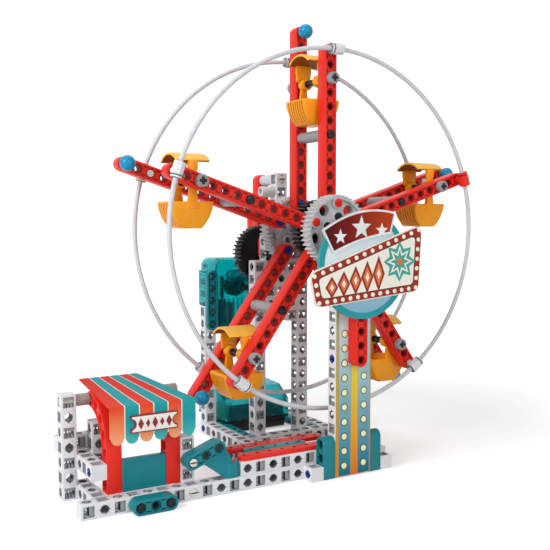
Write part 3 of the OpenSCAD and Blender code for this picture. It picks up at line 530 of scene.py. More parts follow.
def keep(parts, name, slot, *nodes, body="stand", look=None, smooth=SMOOTH_ANGLE):
    """Makes a piece of its parts, takes it from cells to metres and hangs it on its CAD body.

    The CAD nodes that it stands for are hidden. A piece that isn't painted gets its slot's
    finish, and one with a look of its own gets that.
    """
    obj = join(parts) if isinstance(parts, list) else parts
    obj.name = name
    obj.data.name = name
    obj.data.transform(TO_METRES)
    if look or not any(obj.data.materials):
        obj.data.materials.clear()
        obj.data.materials.append(finish_of(look or slot))
    select_only(obj)
    bpy.ops.object.shade_smooth_by_angle(angle=smooth, keep_sharp_edges=True)
    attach(obj, body)
    if nodes:
        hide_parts(*nodes)


class WheelToyDressFrame(bpy.types.Operator):
    """Gives every CAD node its finish"""

    bl_idname = "wheel_toy.dress_frame"
    bl_label = "Dress the frame"

    def execute(self, context):
        for row in frame["record"]["subparts"]:
            node = frame["nodes"][row["node"]]
            finish = finish_of(row["material_slot"])
            if not node.material_slots:
                node.data.materials.append(finish)
            for held in node.material_slots:
                held.material = finish
        return {"FINISHED"}


# Square beams, each run with its corner, its count of cells, its direction and its first hole's

BEAMS = {
    "base_front_beam": [((0, 0, 0), 16, X, Z)],
    "base_cross_beams": [((11, 0, 1), 7, X, Y), ((16, 8, 0), 7, X, Y)],
    "base_foot_beams": [((16, -1, 0), 5, Y, X), ((22, -1, 0), 5, Y, X)],
    "base_rails": [((15, 1, 0), 14, Y, Z), ((23, 1, 0), 14, Y, Z)],
    "short_beams": [((12, 1, 1), 3, Y, X), ((16, 1, 1), 3, Y, X), ((0, 5, 3), 3, X, Y)],
    "short_posts": [((7, 1, 0), 4, Z, Y), ((2, 4, 1), 4, Z, Y)],
    "column_posts": [((18, -1, 0), 18, Z, X), ((20, -1, 0), 18, Z, X)],
    "column_blocks": [((19, -1, 0), 1, Z, X), ((19, -1, 8), 4, Z, X), ((19, -1, 16), 2, Z, X)],
    "booth_corner_post": [((0, 4, 0), 7, Z, X)],
    "booth_side_beams": [((1, 1, 0), 4, Y, X), ((1, 1, 2), 4, Y, X)],
    "tower_posts": [((17, 9, 0), 15, Z, X), ((21, 9, 0), 15, Z, X), ((15, 14, 1), 10, Z, X)],
    "tower_connectors": [((18, 9, 10), 7, Z, X), ((20, 9, 10), 7, Z, X)],
    "tower_axle_post": [((19, 9, 11), 11, Z, Y)],
}
RECESS_DEPTH = 0.22
LOBE_DEPTH = 0.12
LOBE_SHARE = 0.55
TOOTH = (-0.35, -0.17, 0.09)
TOOTH_HALF = 0.055
TOOTH_ROWS = (-0.22, 0, 0.22)
SLOT_ROWS = (-0.29, -0.11, 0.11, 0.29)
SLOT_X = (-0.34, -0.06)
SLOT_HALF = 0.05
SLOT_DEPTH = 0.06


def beam_depth(face):
    """The number of a beam's finish: nought outside, one for the grey painted shade in a recess, two for
    the darker painted shade in a bore, its lobes and the slots.
    """
    if max(abs(face.center.y), abs(face.center.z)) > 0.465:
        return 0
    in_slot = abs(face.center.z) < 0.5 - RECESS_DEPTH - 0.01
    return 2 if in_slot else 1


def beam_cell():
    """One open-ended cell of a beam: its length along X, its hole along Y, its recesses on Z."""
    s = sizes()
    cell = box((-0.5, -0.5, -0.5), (0.5, 0.5, 0.5))
    edit(cell, lambda e: abs((e.verts[0].co - e.verts[1].co).normalized().x) > 0.9, "EDGE")
    bpy.ops.mesh.bevel(offset=s.edge, segments=2, affect="EDGES")
    leave()
    cut(cell, [hole((0, -0.5, 0), Y, 1, s.bore)])
    lobes = []
    for side in (-1, 1):
        lobe = drum((0, side * 0.5 - LOBE_DEPTH, 0), Y, 2 * LOBE_DEPTH, s.lobe, 4)
        lobe.data.transform(Matrix.Diagonal((1, 1, LOBE_SHARE, 1)))
        lobes.append(lobe)
    cut(cell, lobes)
    tools = []
    for side in (-1, 1):
        floor = side * (0.5 - RECESS_DEPTH)
        tool = bar((-s.recess, s.recess), (-s.recess, s.recess), (floor, side * (0.5 + OVER)))
        teeth = [bar((TOOTH[0] - OVER, TOOTH[1]), (row - TOOTH_HALF, row + TOOTH_HALF),
                     (floor - side * OVER, floor + side * TOOTH[2])) for row in TOOTH_ROWS]
        cut(tool, teeth)
        tools += [bar(SLOT_X, (row - SLOT_HALF, row + SLOT_HALF),
                      (floor - side * SLOT_DEPTH, floor + side * 0.05)) for row in SLOT_ROWS]
        tools.append(tool)
    cut(cell, tools)
    # Paints the recesses grey and the bore, lobes and slots darker grey, as painted shade in the hollows
    paint(cell, ["beam_grey", "beam_recess", "beam_bore"], beam_depth)
    open_up(cell, lambda f: abs(f.normal.x) > 0.99 and abs(f.calc_center_median().x) > 0.49)
    return cell


class WheelToyBuildBeams(bpy.types.Operator):
    """Builds the square beams, with their lobed holes and their ribbed recesses"""

    bl_idname = "wheel_toy.build_beams"
    bl_label = "Build the beams"

    def execute(self, context):
        model = beam_cell()
        for node, rows in BEAMS.items():
            parts = []
            for corner, count, along, first in rows:
                other = 3 - along - first
                for i in range(count):
                    across = first if i % 2 == 0 else other
                    middle = Vector(corner) + Vector((0.5, 0.5, 0.5)) + AXES[along] * i
                    parts.append(copy_of(model, place_along(AXES[along], AXES[across], middle)))
            beam = join(parts)
            tidy_mesh(beam, recalculate=False)
            close_up(beam)
            keep(beam, "detailed_" + node, "beam_grey", node)
        drop(model)
        return {"FINISHED"}


# Round ended links

LINK_SIDES = 32
LINK_PANEL = 0.06
LINK_RIM = 0.1
PANEL_STEPS = ((LINK_RIM, 0), (0.012, -LINK_PANEL))
HEX_R = 0.37
HEX_DEPTH = 0.12
DASH_REACH = Vector((0.17, 0.035, 0.12))
DASH_OFFSET = 0.29
STRIP_DEEP = 0.3
STRIP_BORE = 0.13
SIDE_STRIP = {"width": 0.75, "bore": 0.19, "tint": "teal"}
# Each link's own colour, and the darker colour painted in its holes, hexagons and dashes as shade
LINK_TINTS_AND_SHADES = {"red": ("beam_red", "red_recess_shade"), "teal": ("link_teal", "teal_recess_shade")}
RAMP_WEB = ((8.2, 2.27), (8.45, 2.12), (9.3, 1.5), (9.85, 1.06), (10.9, 1.06), (10.9, 1.75), (10.42, 2.08),
            (10.3, 2.5), (10.0, 2.9), (9.88, 3.1), (9.55, 2.85))


def link_depth(face, holes, deep, panel, width, bore):
    """The number of a link's finish: nought outside, one for the darker painted shade in its holes,
    hexagons and dashes.
    """
    x, y, z = face.center
    off = math.hypot(x - min(max(x, 0), holes - 1), y)
    depth = min(z, deep - z)
    if panel:
        return int(off < width / 2 - LINK_RIM - 0.01 and depth > LINK_PANEL + 0.015)
    nearest = min(max(round(x), 0), holes - 1)
    return int(math.hypot(x - nearest, y) < bore + 0.02 and depth > 0.02)


def link(holes, deep, panel=True, width=1.0, bore=0.22, square=False, tint="red"):
    """A round ended link in its own XY plane, its first hole at the origin, from Z 0 to its depth."""
    half_turn = math.pi / LINK_SIDES
    body = drum((0, 0, 0), Z, deep, width / 2 / math.cos(half_turn), LINK_SIDES, half_turn)
    for vertex in body.data.vertices:
        if vertex.co.x > 0:
            vertex.co.x += holes - 1
        elif square:
            out = width / 2 / max(abs(vertex.co.x), abs(vertex.co.y))
            vertex.co.x, vertex.co.y = vertex.co.x * out, vertex.co.y * out
    round_edges(body, SOFT_EDGE, angle=SHARP)
    if panel:
        inset(body, lambda f: abs(f.normal.z) > 0.99, *PANEL_STEPS)
    cut(body, [hole((i, 0, 0), Z, deep, bore) for i in range(holes)])
    if panel:
        faces = (0, deep)
        cut(body, [drum((i, 0, z - HEX_DEPTH), Z, 2 * HEX_DEPTH, HEX_R, 6)
                   for i in range(holes) for z in faces])
        dashes = [Vector((i + 0.5, y, z)) for i in range(holes - 1) for z in faces
                  for y in (-DASH_OFFSET, DASH_OFFSET)]
        cut(body, [box(place - DASH_REACH, place + DASH_REACH) for place in dashes])
    # The deep faces get the darker colour, as painted shade
    paint(body, LINK_TINTS_AND_SHADES[tint], lambda face: link_depth(face, holes, deep, panel, width, bore))
    return body


def link_across(first, holes, deep, angle=0, **form):
    """A link whose holes run along Y, from its first hole on its front face."""
    body = link(holes, deep, **form)
    body.data.transform(upright(angle, (first[0], first[1] + deep, first[2])))
    return body


def link_flat(first, holes, angle=0, **form):
    """A flat strip whose holes run up."""
    body = link(holes, STRIP_DEEP, panel=False, **form)
    body.data.transform(Matrix.Translation(first) @ Matrix.Rotation(math.radians(angle), 4, "Z"))
    return body


class WheelToyBuildLinks(bpy.types.Operator):
    """Builds the round ended links and the flat strips of the stand"""

    bl_idname = "wheel_toy.build_links"
    bl_label = "Build the links"

    def execute(self, context):
        parts = [link_across((3.5, -1, 0.5), 3, 1, tint="teal"),
                 link_across((7.5, 0, 2.5), 3, 1, 20, tint="teal")]
        for x in (17, 21):
            foot = link(3, 1, square=True, tint="teal")
            foot.data.transform(place_along((0, 0, 1), (0, -1, 0), (x, -0.5, 0.5)))
            parts.append(foot)
        keep(parts, "detailed_teal_links", "link_teal", "teal_links")
        for node, first, holes in (("sign_mast", (19.5, -2, 8.5), 10),
                                   ("tower_back_beam", (19.5, 12, 15.5), 7),
                                   ("tower_rear_beam", (19.5, 13, 10.5), 9)):
            keep(link_across(first, holes, 1, 90), "detailed_" + node, "beam_red", node)
        strips = [link_flat((11.5, 0.5, 2), 7, bore=STRIP_BORE),
                  link_flat((11.5, 2.5, 2), 8, bore=STRIP_BORE),
                  link_across((18.5, 10, 15.5), 2, STRIP_DEEP, 90, panel=False)]
        keep(strips, "detailed_red_strips", "beam_red", "flat_strips_red")
        strips = [link_flat((12.5, 1.5, 2), 5, bore=STRIP_BORE, tint="teal"),
                  link_flat((16.375, 9.375, 0.7), 6, 90, **SIDE_STRIP),
                  link_flat((22.625, 9.375, 0.7), 6, 90, **SIDE_STRIP),
                  link_across((15.5, 13.5, 9.5), 5, 0.5, 90, tint="teal")]
        keep(strips, "detailed_teal_strips", "link_teal", "flat_strips_teal")
        web = plate(RAMP_WEB, 0.08, 0.84)
        tidy_mesh(web)
        coated(round_edges(web, 0.07, 3, 20), "link_teal")
        foot = link(1, 1, square=True, panel=False, tint="teal")
        foot.data.transform(Matrix.Translation((10.5, 0.5, 1)))
        keep([web, foot], "bent_ramp_arm", "link_teal", "ramp_arm")
        return {"FINISHED"}


class WheelToyBuildArms(bpy.types.Operator):
    """Builds the wheel's ten arms"""

    bl_idname = "wheel_toy.build_arms"
    bl_label = "Build the arms"

    def execute(self, context):
        for node, holes, y in (("front_arms", 12, 2), ("rear_arms", 14, 6)):
            model = link(holes, 1)
            shift = Matrix.Translation((2, 0, 0))
            middle = (WHEEL.x, y + 1, WHEEL.z)
            arms = [copy_of(model, upright(angle, middle) @ shift) for angle in ARM_ANGLES]
            drop(model)
            keep(arms, "detailed_" + node, "beam_red", node, body="wheel")
        return {"FINISHED"}


# Booth

AWNING_FRONT_Y = 0.3
AWNING_BACK_Y = 7
AWNING_SLOPE = 0.1
AWNING_X = (2, 7.8)
AWNING_BACK_X = (2.1, 6.3)
AWNING_FOLD = 0.12
AWNING_SHEET = 0.1
AWNING_TOP = 7.4
VALANCE_Z = 4.3
STRIPES = 6
LINE_W = 0.035
ARC_STEPS = 8
PLATE = (3.3, 4.97, 6.45, 6.08)
PLATE_NOTCH = 0.3
NOTCH_STEPS = 10
BEND = (4.5, 3.5)
BEND_R = 3
BEND_STEPS = 16
RAIL_R = 0.4
PRINT_DEEP = 0.03
FINISHES.update({
    "awning_red": (shaded_print, "awning red print", Z, VALANCE_Z, AWNING_TOP, (0, "F7AE82"),
                   (0.35, "F48C5A"), (0.7, "EA5434"), (0.86, "DC2C18"), (1, "D02210")),
    "awning_teal": (shaded_print, "awning teal print", Z, VALANCE_Z, AWNING_TOP, (0, "4CBAB8"),
                    (0.4, "1FA0A4"), (0.72, "22A2A6"), (1, "1A969C")),
    "awning_line": (plastic, "awning white line", "F3EFE8", 0.35, 0.02),
    "awning_back": (plastic, "awning back", "D9D2C8", 0.5, 0.03),
    "plate_line": (plastic, "plate dark line", "8A2A26", 0.4),
    "plate_white": (plastic, "plate white", "F4EFEA", 0.36, 0.02),
})


def awning_sides(y):
    """The awning's left and right edges at a place between its front and its back."""
    share = (y - AWNING_FRONT_Y) / (AWNING_BACK_Y - AWNING_FRONT_Y)
    return [front + share * (back - front) for front, back in zip(AWNING_X, AWNING_BACK_X)]


def awning_columns():
    """Places across the front edge, each with its share of a stripe: stripes between thin lines."""
    columns = []
    width = (AWNING_X[1] - AWNING_X[0]) / STRIPES
    for i in range(STRIPES):
        left = AWNING_X[0] + i * width
        columns.append((left, -1.0))
        for k in range(ARC_STEPS + 1):
            s = -1 + 2 * k / ARC_STEPS
            columns.append((left + width / 2 + s * (width / 2 - LINE_W), s))
    columns.append((AWNING_X[1], 1.0))
    return columns


def awning():
    """The striped sheet: it falls gently to the front, folds over and hangs down in scallops."""
    top = BEND[1] + (BEND_R + 0.5) * math.hypot(1, AWNING_SLOPE) + AWNING_SHEET + 0.004
    rise = [(y, top + AWNING_SLOPE * (y - BEND[0])) for y in (AWNING_BACK_Y, 4.8, 2.6)]
    z_fold = top + AWNING_SLOPE * (AWNING_FRONT_Y + AWNING_FOLD - BEND[0])
    rise += arc(AWNING_FRONT_Y + AWNING_FOLD, z_fold - AWNING_FOLD, AWNING_FOLD, 90, 90, 5)
    width = (AWNING_X[1] - AWNING_X[0]) / STRIPES
    radius = width / 2 - LINE_W
    rise += [(AWNING_FRONT_Y, 5.6), (AWNING_FRONT_Y, VALANCE_Z + radius), None]
    columns = awning_columns()
    across, down = len(columns), len(rise)
    sheet = added(bpy.ops.mesh.primitive_grid_add, x_subdivisions=across - 1, y_subdivisions=down - 1)
    order = sorted(sheet.data.vertices, key=lambda v: (round(v.co.y, 5), round(v.co.x, 5)))
    for n, vertex in enumerate(order):
        row, (place_x, along_arc) = rise[n // across], columns[n % across]
        if row is None:
            hang = radius * math.sqrt(max(0, 1 - along_arc ** 2))
            row = (AWNING_FRONT_Y, VALANCE_Z + radius - hang - 0.02)
        left, right = awning_sides(row[0])
        share = (place_x - AWNING_X[0]) / (AWNING_X[1] - AWNING_X[0])
        vertex.co = (left + share * (right - left), row[0], row[1])
    stripe_of = {}
    for face in sheet.data.polygons:
        left, right = awning_sides(face.center.y)
        place = (face.center.x - left) / (right - left) * STRIPES
        line = min(place % 1, 1 - place % 1) < LINE_W / width
        stripe_of[face.index] = 2 if line and 0.3 < place < STRIPES - 0.3 else int(place) % 2
    looks = ["awning_red", "awning_teal", "awning_line", "awning_back"]
    paint(sheet, looks, lambda f: stripe_of[f.index])
    edit(sheet, lambda part: True)
    bpy.ops.mesh.normals_make_consistent(inside=False)
    leave()
    if sheet.data.polygons[0].normal.z < 0:
        sheet.data.flip_normals()
    change = sheet.modifiers.new("sheet", "SOLIDIFY")
    change.thickness = AWNING_SHEET
    change.offset = -1
    change.material_offset = 0
    select_only(sheet)
    bpy.ops.object.modifier_apply(modifier=change.name)
    return sheet


def bent_beam(x):
    """A beam that stands on end and then turns back through a quarter circle."""
    inner, outer = BEND_R - 0.5, BEND_R + 0.5
    outline = arc(*BEND, outer, 180, -90, BEND_STEPS)
    outline += arc(BEND[0], BEND[1] + BEND_R, 0.5, 90, -180, 8)[1:-1]
    outline += arc(*BEND, inner, 90, 90, BEND_STEPS)
    outline += [(BEND[0] - inner, 1), (BEND[0] - outer, 1)]
    body = round_edges(on_side(outline, x, x + 1), 0.04, angle=SHARP)
    inset(body, lambda f: abs(f.normal.x) > 0.99, *PANEL_STEPS)
    spots = [(BEND[0] - BEND_R, BEND[1] - i) for i in (1, 2)] + arc(*BEND, BEND_R, 180, -90, 4)
    cut(body, [hole((x, y, z), X, 1) for y, z in spots])
    cut(body, [drum((face - HEX_DEPTH, y, z), X, 2 * HEX_DEPTH, HEX_R, 6)
               for y, z in spots for face in (x, x + 1)])
    return body


def notched(inset_by):
    """The outline of the booth's plate, with a round notch in the middle of each end."""
    left, low, right, high = PLATE
    reach = PLATE_NOTCH + inset_by
    open_by = math.degrees(math.asin(inset_by / reach))
    outline = [(left + inset_by, high - inset_by), (right - inset_by, high - inset_by)]
    outline += arc(right, (low + high) / 2, reach, 90 + open_by, 180 - 2 * open_by, NOTCH_STEPS)
    outline += [(right - inset_by, low + inset_by), (left + inset_by, low + inset_by)]
    outline += arc(left, (low + high) / 2, reach, -90 + open_by, 180 - 2 * open_by, NOTCH_STEPS)
    return outline


def motif(outline, front, key):
    """A thin printed shape on a board."""
    return coated(plate(outline, front, PRINT_DEEP), key)


class WheelToyBuildBooth(bpy.types.Operator):
    """Builds the ticket booth: bent beams, awning, plate, counter and roof rail"""

    bl_idname = "wheel_toy.build_booth"
    bl_label = "Build the booth"

    def execute(self, context):
        keep(awning(), "striped_awning", "awning_stripe", "booth_awning")
        clip = round_edges(box((3.5, 3.9, 6.25), (5.5, 5.1, 6.95)), 0.06)
        cut(clip, [drum((3.4, 4.5, 6.5), X, 2.2, RAIL_R, 24), box((3.4, 4.3, 6.1), (5.6, 4.7, 6.5))])
        keep(clip, "awning_clip", "awning_stripe")
        keep([bent_beam(2), bent_beam(6)], "detailed_bent_beams", "beam_red", "booth_bent_beams")
        counter = round_edges(box((3, 1, 1), (6, 1.5, 3.1)), 0.05, 3)
        inset(counter, lambda f: abs(f.normal.y) > 0.99, (0.12, 0), (0.02, -0.02))
        keep(counter, "counter_panel", "link_teal")
        parts = [coated(plate(notched(0), 0.12, 0.18), "plate_line"),
                 coated(plate(notched(0.075), 0.1, 0.18), "plate_white")]
        for i in range(5):
            x, size = 3.95 + 0.475 * i, 0.27 if i % 2 else 0.36
            parts.append(motif(star((x, 5.52), size, 0.55 * size, 2), 0.085, "plate_line"))
        keep(parts, "booth_plate", "board_cream", "booth_panels")
        tubes = []
        for start, length in ((1, 1), (3, 3), (7, 1.2)):
            tube = round_edges(drum((start + 0.01, 4.5, 6.5), X, length - 0.02, RAIL_R), 0.03)
            tubes.append(cut(tube, [hole((start, 4.5, 6.5), X, length)]))
        keep(tubes, "roof_rail_tubes", "tube_brown", "booth_roof_tube")
        return {"FINISHED"}


# Sign

DISC = (19.5, 15.17)
DISC_R = 3.75
DISC_RING = 0.42
DISC_SIDES = 96
MARQUEE = ((14.85, 14.75), (24.4, 18), (24.13, 13.16), (15.35, 12.4))
MARQUEE_LAYERS = ((0, 0.62, "board_edge"), (0.07, 0.57, "board_red"), (0.53, 0.38, "dark_line"),
                  (0.59, 0.33, "board_cream"))
MARQUEE_BULBS = (13, 6, 13, 3)
DIAMOND_LAYERS = ((1, -2.5, "motif_brown"), (0.66, -2.51, "motif_orange"), (0.3, -2.52, "board_cream"))
FLOWER = ((1.42, 0.95, -2.5, "motif_teal"), (1.12, 0.6, -2.51, "board_cream"),
          (0.86, 0.4, -2.52, "motif_teal"), (0.3, 0.2, -2.53, "motif_orange"))
BANNER_TOP = ((15.89, 17.62), (18.95, 18.88), (22.08, 18.8))
BANNER_LOW = ((21.66, 17.31), (19.18, 16.88), (16.8, 16.02))
BANNER_STEPS = 20
CORNER_STEPS = 5
FINISHES.update({
    "disc_rim": (plastic, "disc teal rim", "1E9AA3", 0.32),
    "disc_sky": (shaded_print, "disc sky print", Z, DISC[1] - DISC_R, DISC[1] + DISC_R,
                 (0, "74AECB"), (0.25, "AED3E3"), (0.6, "E6F3F6"), (1, "B9DDE6")),
    "board_edge": (plastic, "board white edge", "F1ECE4", 0.4, 0.02),
    "dark_line": (plastic, "dark brown line", "4A1512", 0.4),
    "bulb_cream": (plastic, "bulb cream", "FFF6DC", 0.2),
    "motif_orange": (plastic, "motif orange", "E9743A", 0.36),
    "motif_brown": (plastic, "motif red brown", "8C2A1E", 0.36),
    "motif_teal": (plastic, "motif teal", "3FA79B", 0.36),
    "banner_silver": (metal, "banner silver edge", "C9CBCD"),
    "banner_red": (shaded_print, "banner red print", X, 15.9, 22.2, (0, "3E0F10"), (0.35, "7A1A14"),
                   (1, "C4461F")),
})


def inside_line(points, inset_by):
    """An outline drawn in by a distance, for a clockwise row of corners."""
    drawn = []
    count = len(points)
    for i in range(count):
        a, b, c = (Vector(points[(i + k) % count]) for k in (-1, 0, 1))
        one = Vector(((b - a).y, -(b - a).x)).normalized()
        two = Vector(((c - b).y, -(c - b).x)).normalized()
        between = (one + two).normalized()
        drawn.append(b + between * inset_by / between.dot(one))
    return drawn


def rounded(corners, radius):
    """The points of an outline whose corners are rounded."""
    points = []
    for i, here in enumerate(corners):
        before = (corners[i - 1] - here).normalized()
        after = (corners[(i + 1) % len(corners)] - here).normalized()
        reach = radius / math.tan(before.angle(after) / 2)
        points += curve(here + before * reach, here, here + after * reach, CORNER_STEPS)
    return points


def curve_through(*places):
    """Points of the even curve that runs through three points."""
    first, middle, last = (Vector(place) for place in places)
    return curve(first, 2 * middle - (first + last) / 2, last, BANNER_STEPS)


class WheelToyBuildSign(bpy.types.Operator):
    """Builds the sign's disc, banner and marquee, with their borders, bulbs and plain motifs"""

    bl_idname = "wheel_toy.build_sign"
    bl_label = "Build the sign"

    def execute(self, context):
        disc = plate(arc(*DISC, DISC_R, 0, -360, DISC_SIDES)[:-1], -2.24, 0.24)
        face_front(disc, (DISC_RING, 0), (0.02, -0.02))
        paint(disc, ["disc_rim", "disc_sky"], lambda f: int(f.normal.y < -0.9 and f.area > 10))
        keep(disc, "sign_disc_board", "board_teal", "sign_disc")
        parts = []
        for i, (inset_by, radius, key) in enumerate(MARQUEE_LAYERS):
            outline = rounded(inside_line(MARQUEE, inset_by), radius)
            parts.append(coated(plate(outline, -2.48 - 0.004 * i, 0.05 if i else 0.22), key))
        path = inside_line(MARQUEE, 0.31)
        bulbs = []
        for i, count in enumerate(MARQUEE_BULBS):
            for k in range(count):
                x, z = path[i].lerp(path[(i + 1) % len(path)], k / count)
                bulbs.append(drum((x, -2.54, z), Y, 0.08, 0.155, 16))
        parts.append(coated(round_edges(join(bulbs), 0.03), "bulb_cream"))
        for i in range(5):
            x, z, tall = 16.6 + 0.98 * i, 13.75 + 0.2 * i, 0.75 + 0.13 * i
            for scale, front, key in DIAMOND_LAYERS:
                parts.append(motif(star((x, z), tall * scale, 0.52 * scale, 2), front, key))
        for outer, inner, front, key in FLOWER:
            parts.append(motif(star((22.35, 15.35), outer, inner, 8), front, key))
        keep(parts, "sign_marquee_board", "board_cream", "sign_marquee")
        banner = plate(curve_through(*BANNER_TOP) + curve_through(*BANNER_LOW), -2.37, 0.12)
        face_front(banner, (0.14, 0))
        field = front_field(banner)
        paint(banner, ["banner_silver", "banner_red"], lambda f: int(f.index == field))
        parts = [banner]
        for x, z, size in ((17.35, 17.15, 0.55), (19.1, 17.75, 0.85), (20.85, 17.55, 0.55)):
            parts.append(motif(star((x, z), size, 0.42 * size, 5), -2.39, "banner_silver"))
        keep(parts, "sign_banner_board", "board_red", "sign_banner")
        return {"FINISHED"}


# Column card

CARD_LOW = 0.1
CARD_HIGH = 12
CARD_MIDDLE = (19.27, 19.84)
CARD_STRIPS = ((18.2, 19.27), (19.84, 20.92))
CARD_SLOT = ((18.995, -1.2, 8), (20.005, -0.9, 12.2))
CARD_FRONT = -1.06
CARD_BULBS = ((18.69, 10), (20.38, 7))
CARD_BULB_Z = 0.85
CARD_BULB_STEP = 1.05
FINISHES.update({
    "card_gold": (shaded_print, "card gold print", Z, CARD_LOW, CARD_HIGH, (0, "E8792A"),
                  (0.25, "F0A836"), (0.6, "EAD34A"), (1, "D8DC9A")),
    "card_sky": (shaded_print, "card blue print", Z, CARD_LOW, CARD_HIGH, (0, "0F7486"),
                 (0.12, "3F8FA6"), (0.45, "86B6C6"), (0.75, "B9D8DC"), (1, "DDEBEA")),
    "card_edge": (shaded_print, "card edge print", Z, CARD_LOW, CARD_HIGH, (0, "E08A2E"),
                  (0.5, "C7A64A"), (1, "A8B48C")),
    "bulb_ring": (plastic, "bulb dark ring", "3B4A32", 0.4),
    "bulb_yellow": (plastic, "bulb pale yellow", "FFF9CC", 0.3),
})


def card_board(left, right, high, front, deep):
    """A board of the card, from the card's foot up."""
    return plate(((left, CARD_LOW), (left, high), (right, high), (right, CARD_LOW)), front, deep)


class WheelToyBuildCard(bpy.types.Operator):
    """Builds the column's printed card with its strips and bulbs"""

    bl_idname = "wheel_toy.build_card"
    bl_label = "Build the column's card"

    def execute(self, context):
        back = cut(card_board(18, 21, CARD_HIGH, CARD_FRONT + 0.02, 0.04), [box(*CARD_SLOT)])
        middle = card_board(*CARD_MIDDLE, CARD_SLOT[0][Z], CARD_FRONT + 0.012, 0.03)
        parts = [coated(back, "card_edge"), coated(middle, "card_gold")]
        for left, right in CARD_STRIPS:
            strip = card_board(left, right, CARD_HIGH, CARD_FRONT + 0.005, 0.03)
            face_front(strip, (0.035, 0))
            field = front_field(strip)
            paint(strip, ["card_edge", "card_sky"], lambda f: int(f.index == field))
            parts.append(cut(strip, [box(*CARD_SLOT)]))
        for x, count in CARD_BULBS:
            for i in range(count):
                z = CARD_BULB_Z + i * CARD_BULB_STEP
                outer = drum((x, CARD_FRONT - 0.01, z), Y, 0.03, sizes().bulb + 0.06, 20)
                inner = round_edges(drum((x, CARD_FRONT - 0.03, z), Y, 0.04, sizes().bulb, 20), 0.015)
                parts += [coated(outer, "bulb_ring"), coated(inner, "bulb_yellow")]
        keep(parts, "column_printed_card", "card_blue", "column_card")
        return {"FINISHED"}


# Wheel

RIM_R = 13
RIM_TUBE_R = 0.168
FRONT_RIM_Y = 1.35
REAR_RIM_Y = 7.65


def spin_ring(y, tube, start, sweep, steps, sides=16):
    """An arc of a rim's tube, from one angle through a sweep, with closed ends."""
    obj = added(bpy.ops.mesh.primitive_circle_add, vertices=sides, radius=tube, fill_type="NGON")
    a = math.radians(start)
    obj.data.transform(place_along((math.cos(a), 0, math.sin(a)), (0, 1, 0), spoke(RIM_R, start, y)))
    edit(obj, lambda part: True)
    bpy.ops.mesh.spin(steps=steps, angle=math.radians(sweep), center=(WHEEL.x, y, WHEEL.z),
                      axis=(0, 1, 0))
    bpy.ops.mesh.select_all(action="SELECT")
    bpy.ops.mesh.normals_make_consistent(inside=False)
    leave()
    return obj


def clip_off(face, y):
    """How far a face's middle lies from the middle line of a rim."""
    out = math.hypot(face.center.x - WHEEL.x, face.center.z - WHEEL.z) - RIM_R
    return math.hypot(out, face.center.y - y)


def rim_clip(y, inner_face, angle, red=False):
    """A clip that grips a rim's tube ends and plugs into the arm's face behind or before it."""
    sleeve = round_edges(spin_ring(y, 0.42, angle - 2.5, 4.8, 5, 8), 0.05, angle=SHARP)
    groove = cut(spin_ring(y, 0.5, angle + 1.3, 0.45, 1, 8), [spin_ring(y, 0.34, angle + 1.1, 0.85, 1, 8)])
    cut(sleeve, [groove])
    # The inside of a clip's sleeve, about the rim's tube, gets the darker finish of a beam's bore or a
    # link's holes, as painted shade
    looks = LINK_TINTS_AND_SHADES["red"] if red else ("beam_grey", "beam_bore")
    paint(sleeve, looks, lambda face: int(clip_off(face, y) < 0.36))
    stem = drum(spoke(RIM_R, angle, min(y, inner_face)), Y, abs(inner_face - y), 0.28, 20)
    start = inner_face if y < inner_face else inner_face - 0.9
    plug = drum(spoke(RIM_R, angle, start), Y, 0.9, PIN_R, 20)
    return [sleeve, coated(stem, looks[0]), coated(plug, looks[0])]


class WheelToyBuildRims(bpy.types.Operator):
    """Builds the two tube rims and their clips"""

    bl_idname = "wheel_toy.build_rims"
    bl_label = "Build the rims"

    def execute(self, context):
        for node, y in (("front_rim", FRONT_RIM_Y), ("rear_rim", REAR_RIM_Y)):
            tubes = [spin_ring(y, RIM_TUBE_R, angle + 0.3, 71.4, 48) for angle in ARM_ANGLES]
            keep(tubes, "detailed_" + node, "tube_white", node, body="wheel")
        white, red = [], []
        for i, angle in enumerate(ARM_ANGLES):
            (red if i == 0 else white).extend(rim_clip(FRONT_RIM_Y, 2, angle, i == 0))
            white.extend(rim_clip(REAR_RIM_Y, 7, angle))
        keep(white, "rim_clips_white", "pin_light", "rim_clips", body="wheel")
        keep(red, "rim_clip_red", "beam_red", body="wheel")
        return {"FINISHED"}


AXLE_R = 11
SPACER_R = 7
KNOB_PLACE_R = 15
KNOB_R = 0.55
BUSH_R = 0.43
CROSS_HALF = 0.09
CROSS_REACH = 0.25
CROSS_GAP = 0.02
HEAD_SLOT_HALF = 0.05
HEAD_SLOT_DEPTH = 0.06


def wall_through(place, half_x, half_z, y0, y1):
    """A box along Y about a place."""
    return box((place.x - half_x, y0, place.z - half_z), (place.x + half_x, y1, place.z + half_z))


def cross_axle(place, y0, y1):
    """An axle with a plus-shaped section."""
    body = wall_through(place, CROSS_REACH, CROSS_HALF, y0, y1)
    cut(body, [wall_through(place, CROSS_HALF, CROSS_REACH, y0, y1)], "UNION")
    return round_edges(body, 0.015, angle=SHARP)


def bush(place, y0, y1, cross=True):
    """A round bush, with a plus-shaped hole where it sits on an axle."""
    body = round_edges(drum((place.x, y0, place.z), Y, y1 - y0, BUSH_R), SOFT_EDGE, angle=SHARP)
    if cross:
        reach, thin = CROSS_REACH + CROSS_GAP, CROSS_HALF + CROSS_GAP
        cut(body, [wall_through(place, half_x, half_z, y0 - OVER, y1 + OVER)
                   for half_x, half_z in ((reach, thin), (thin, reach))])
    return body


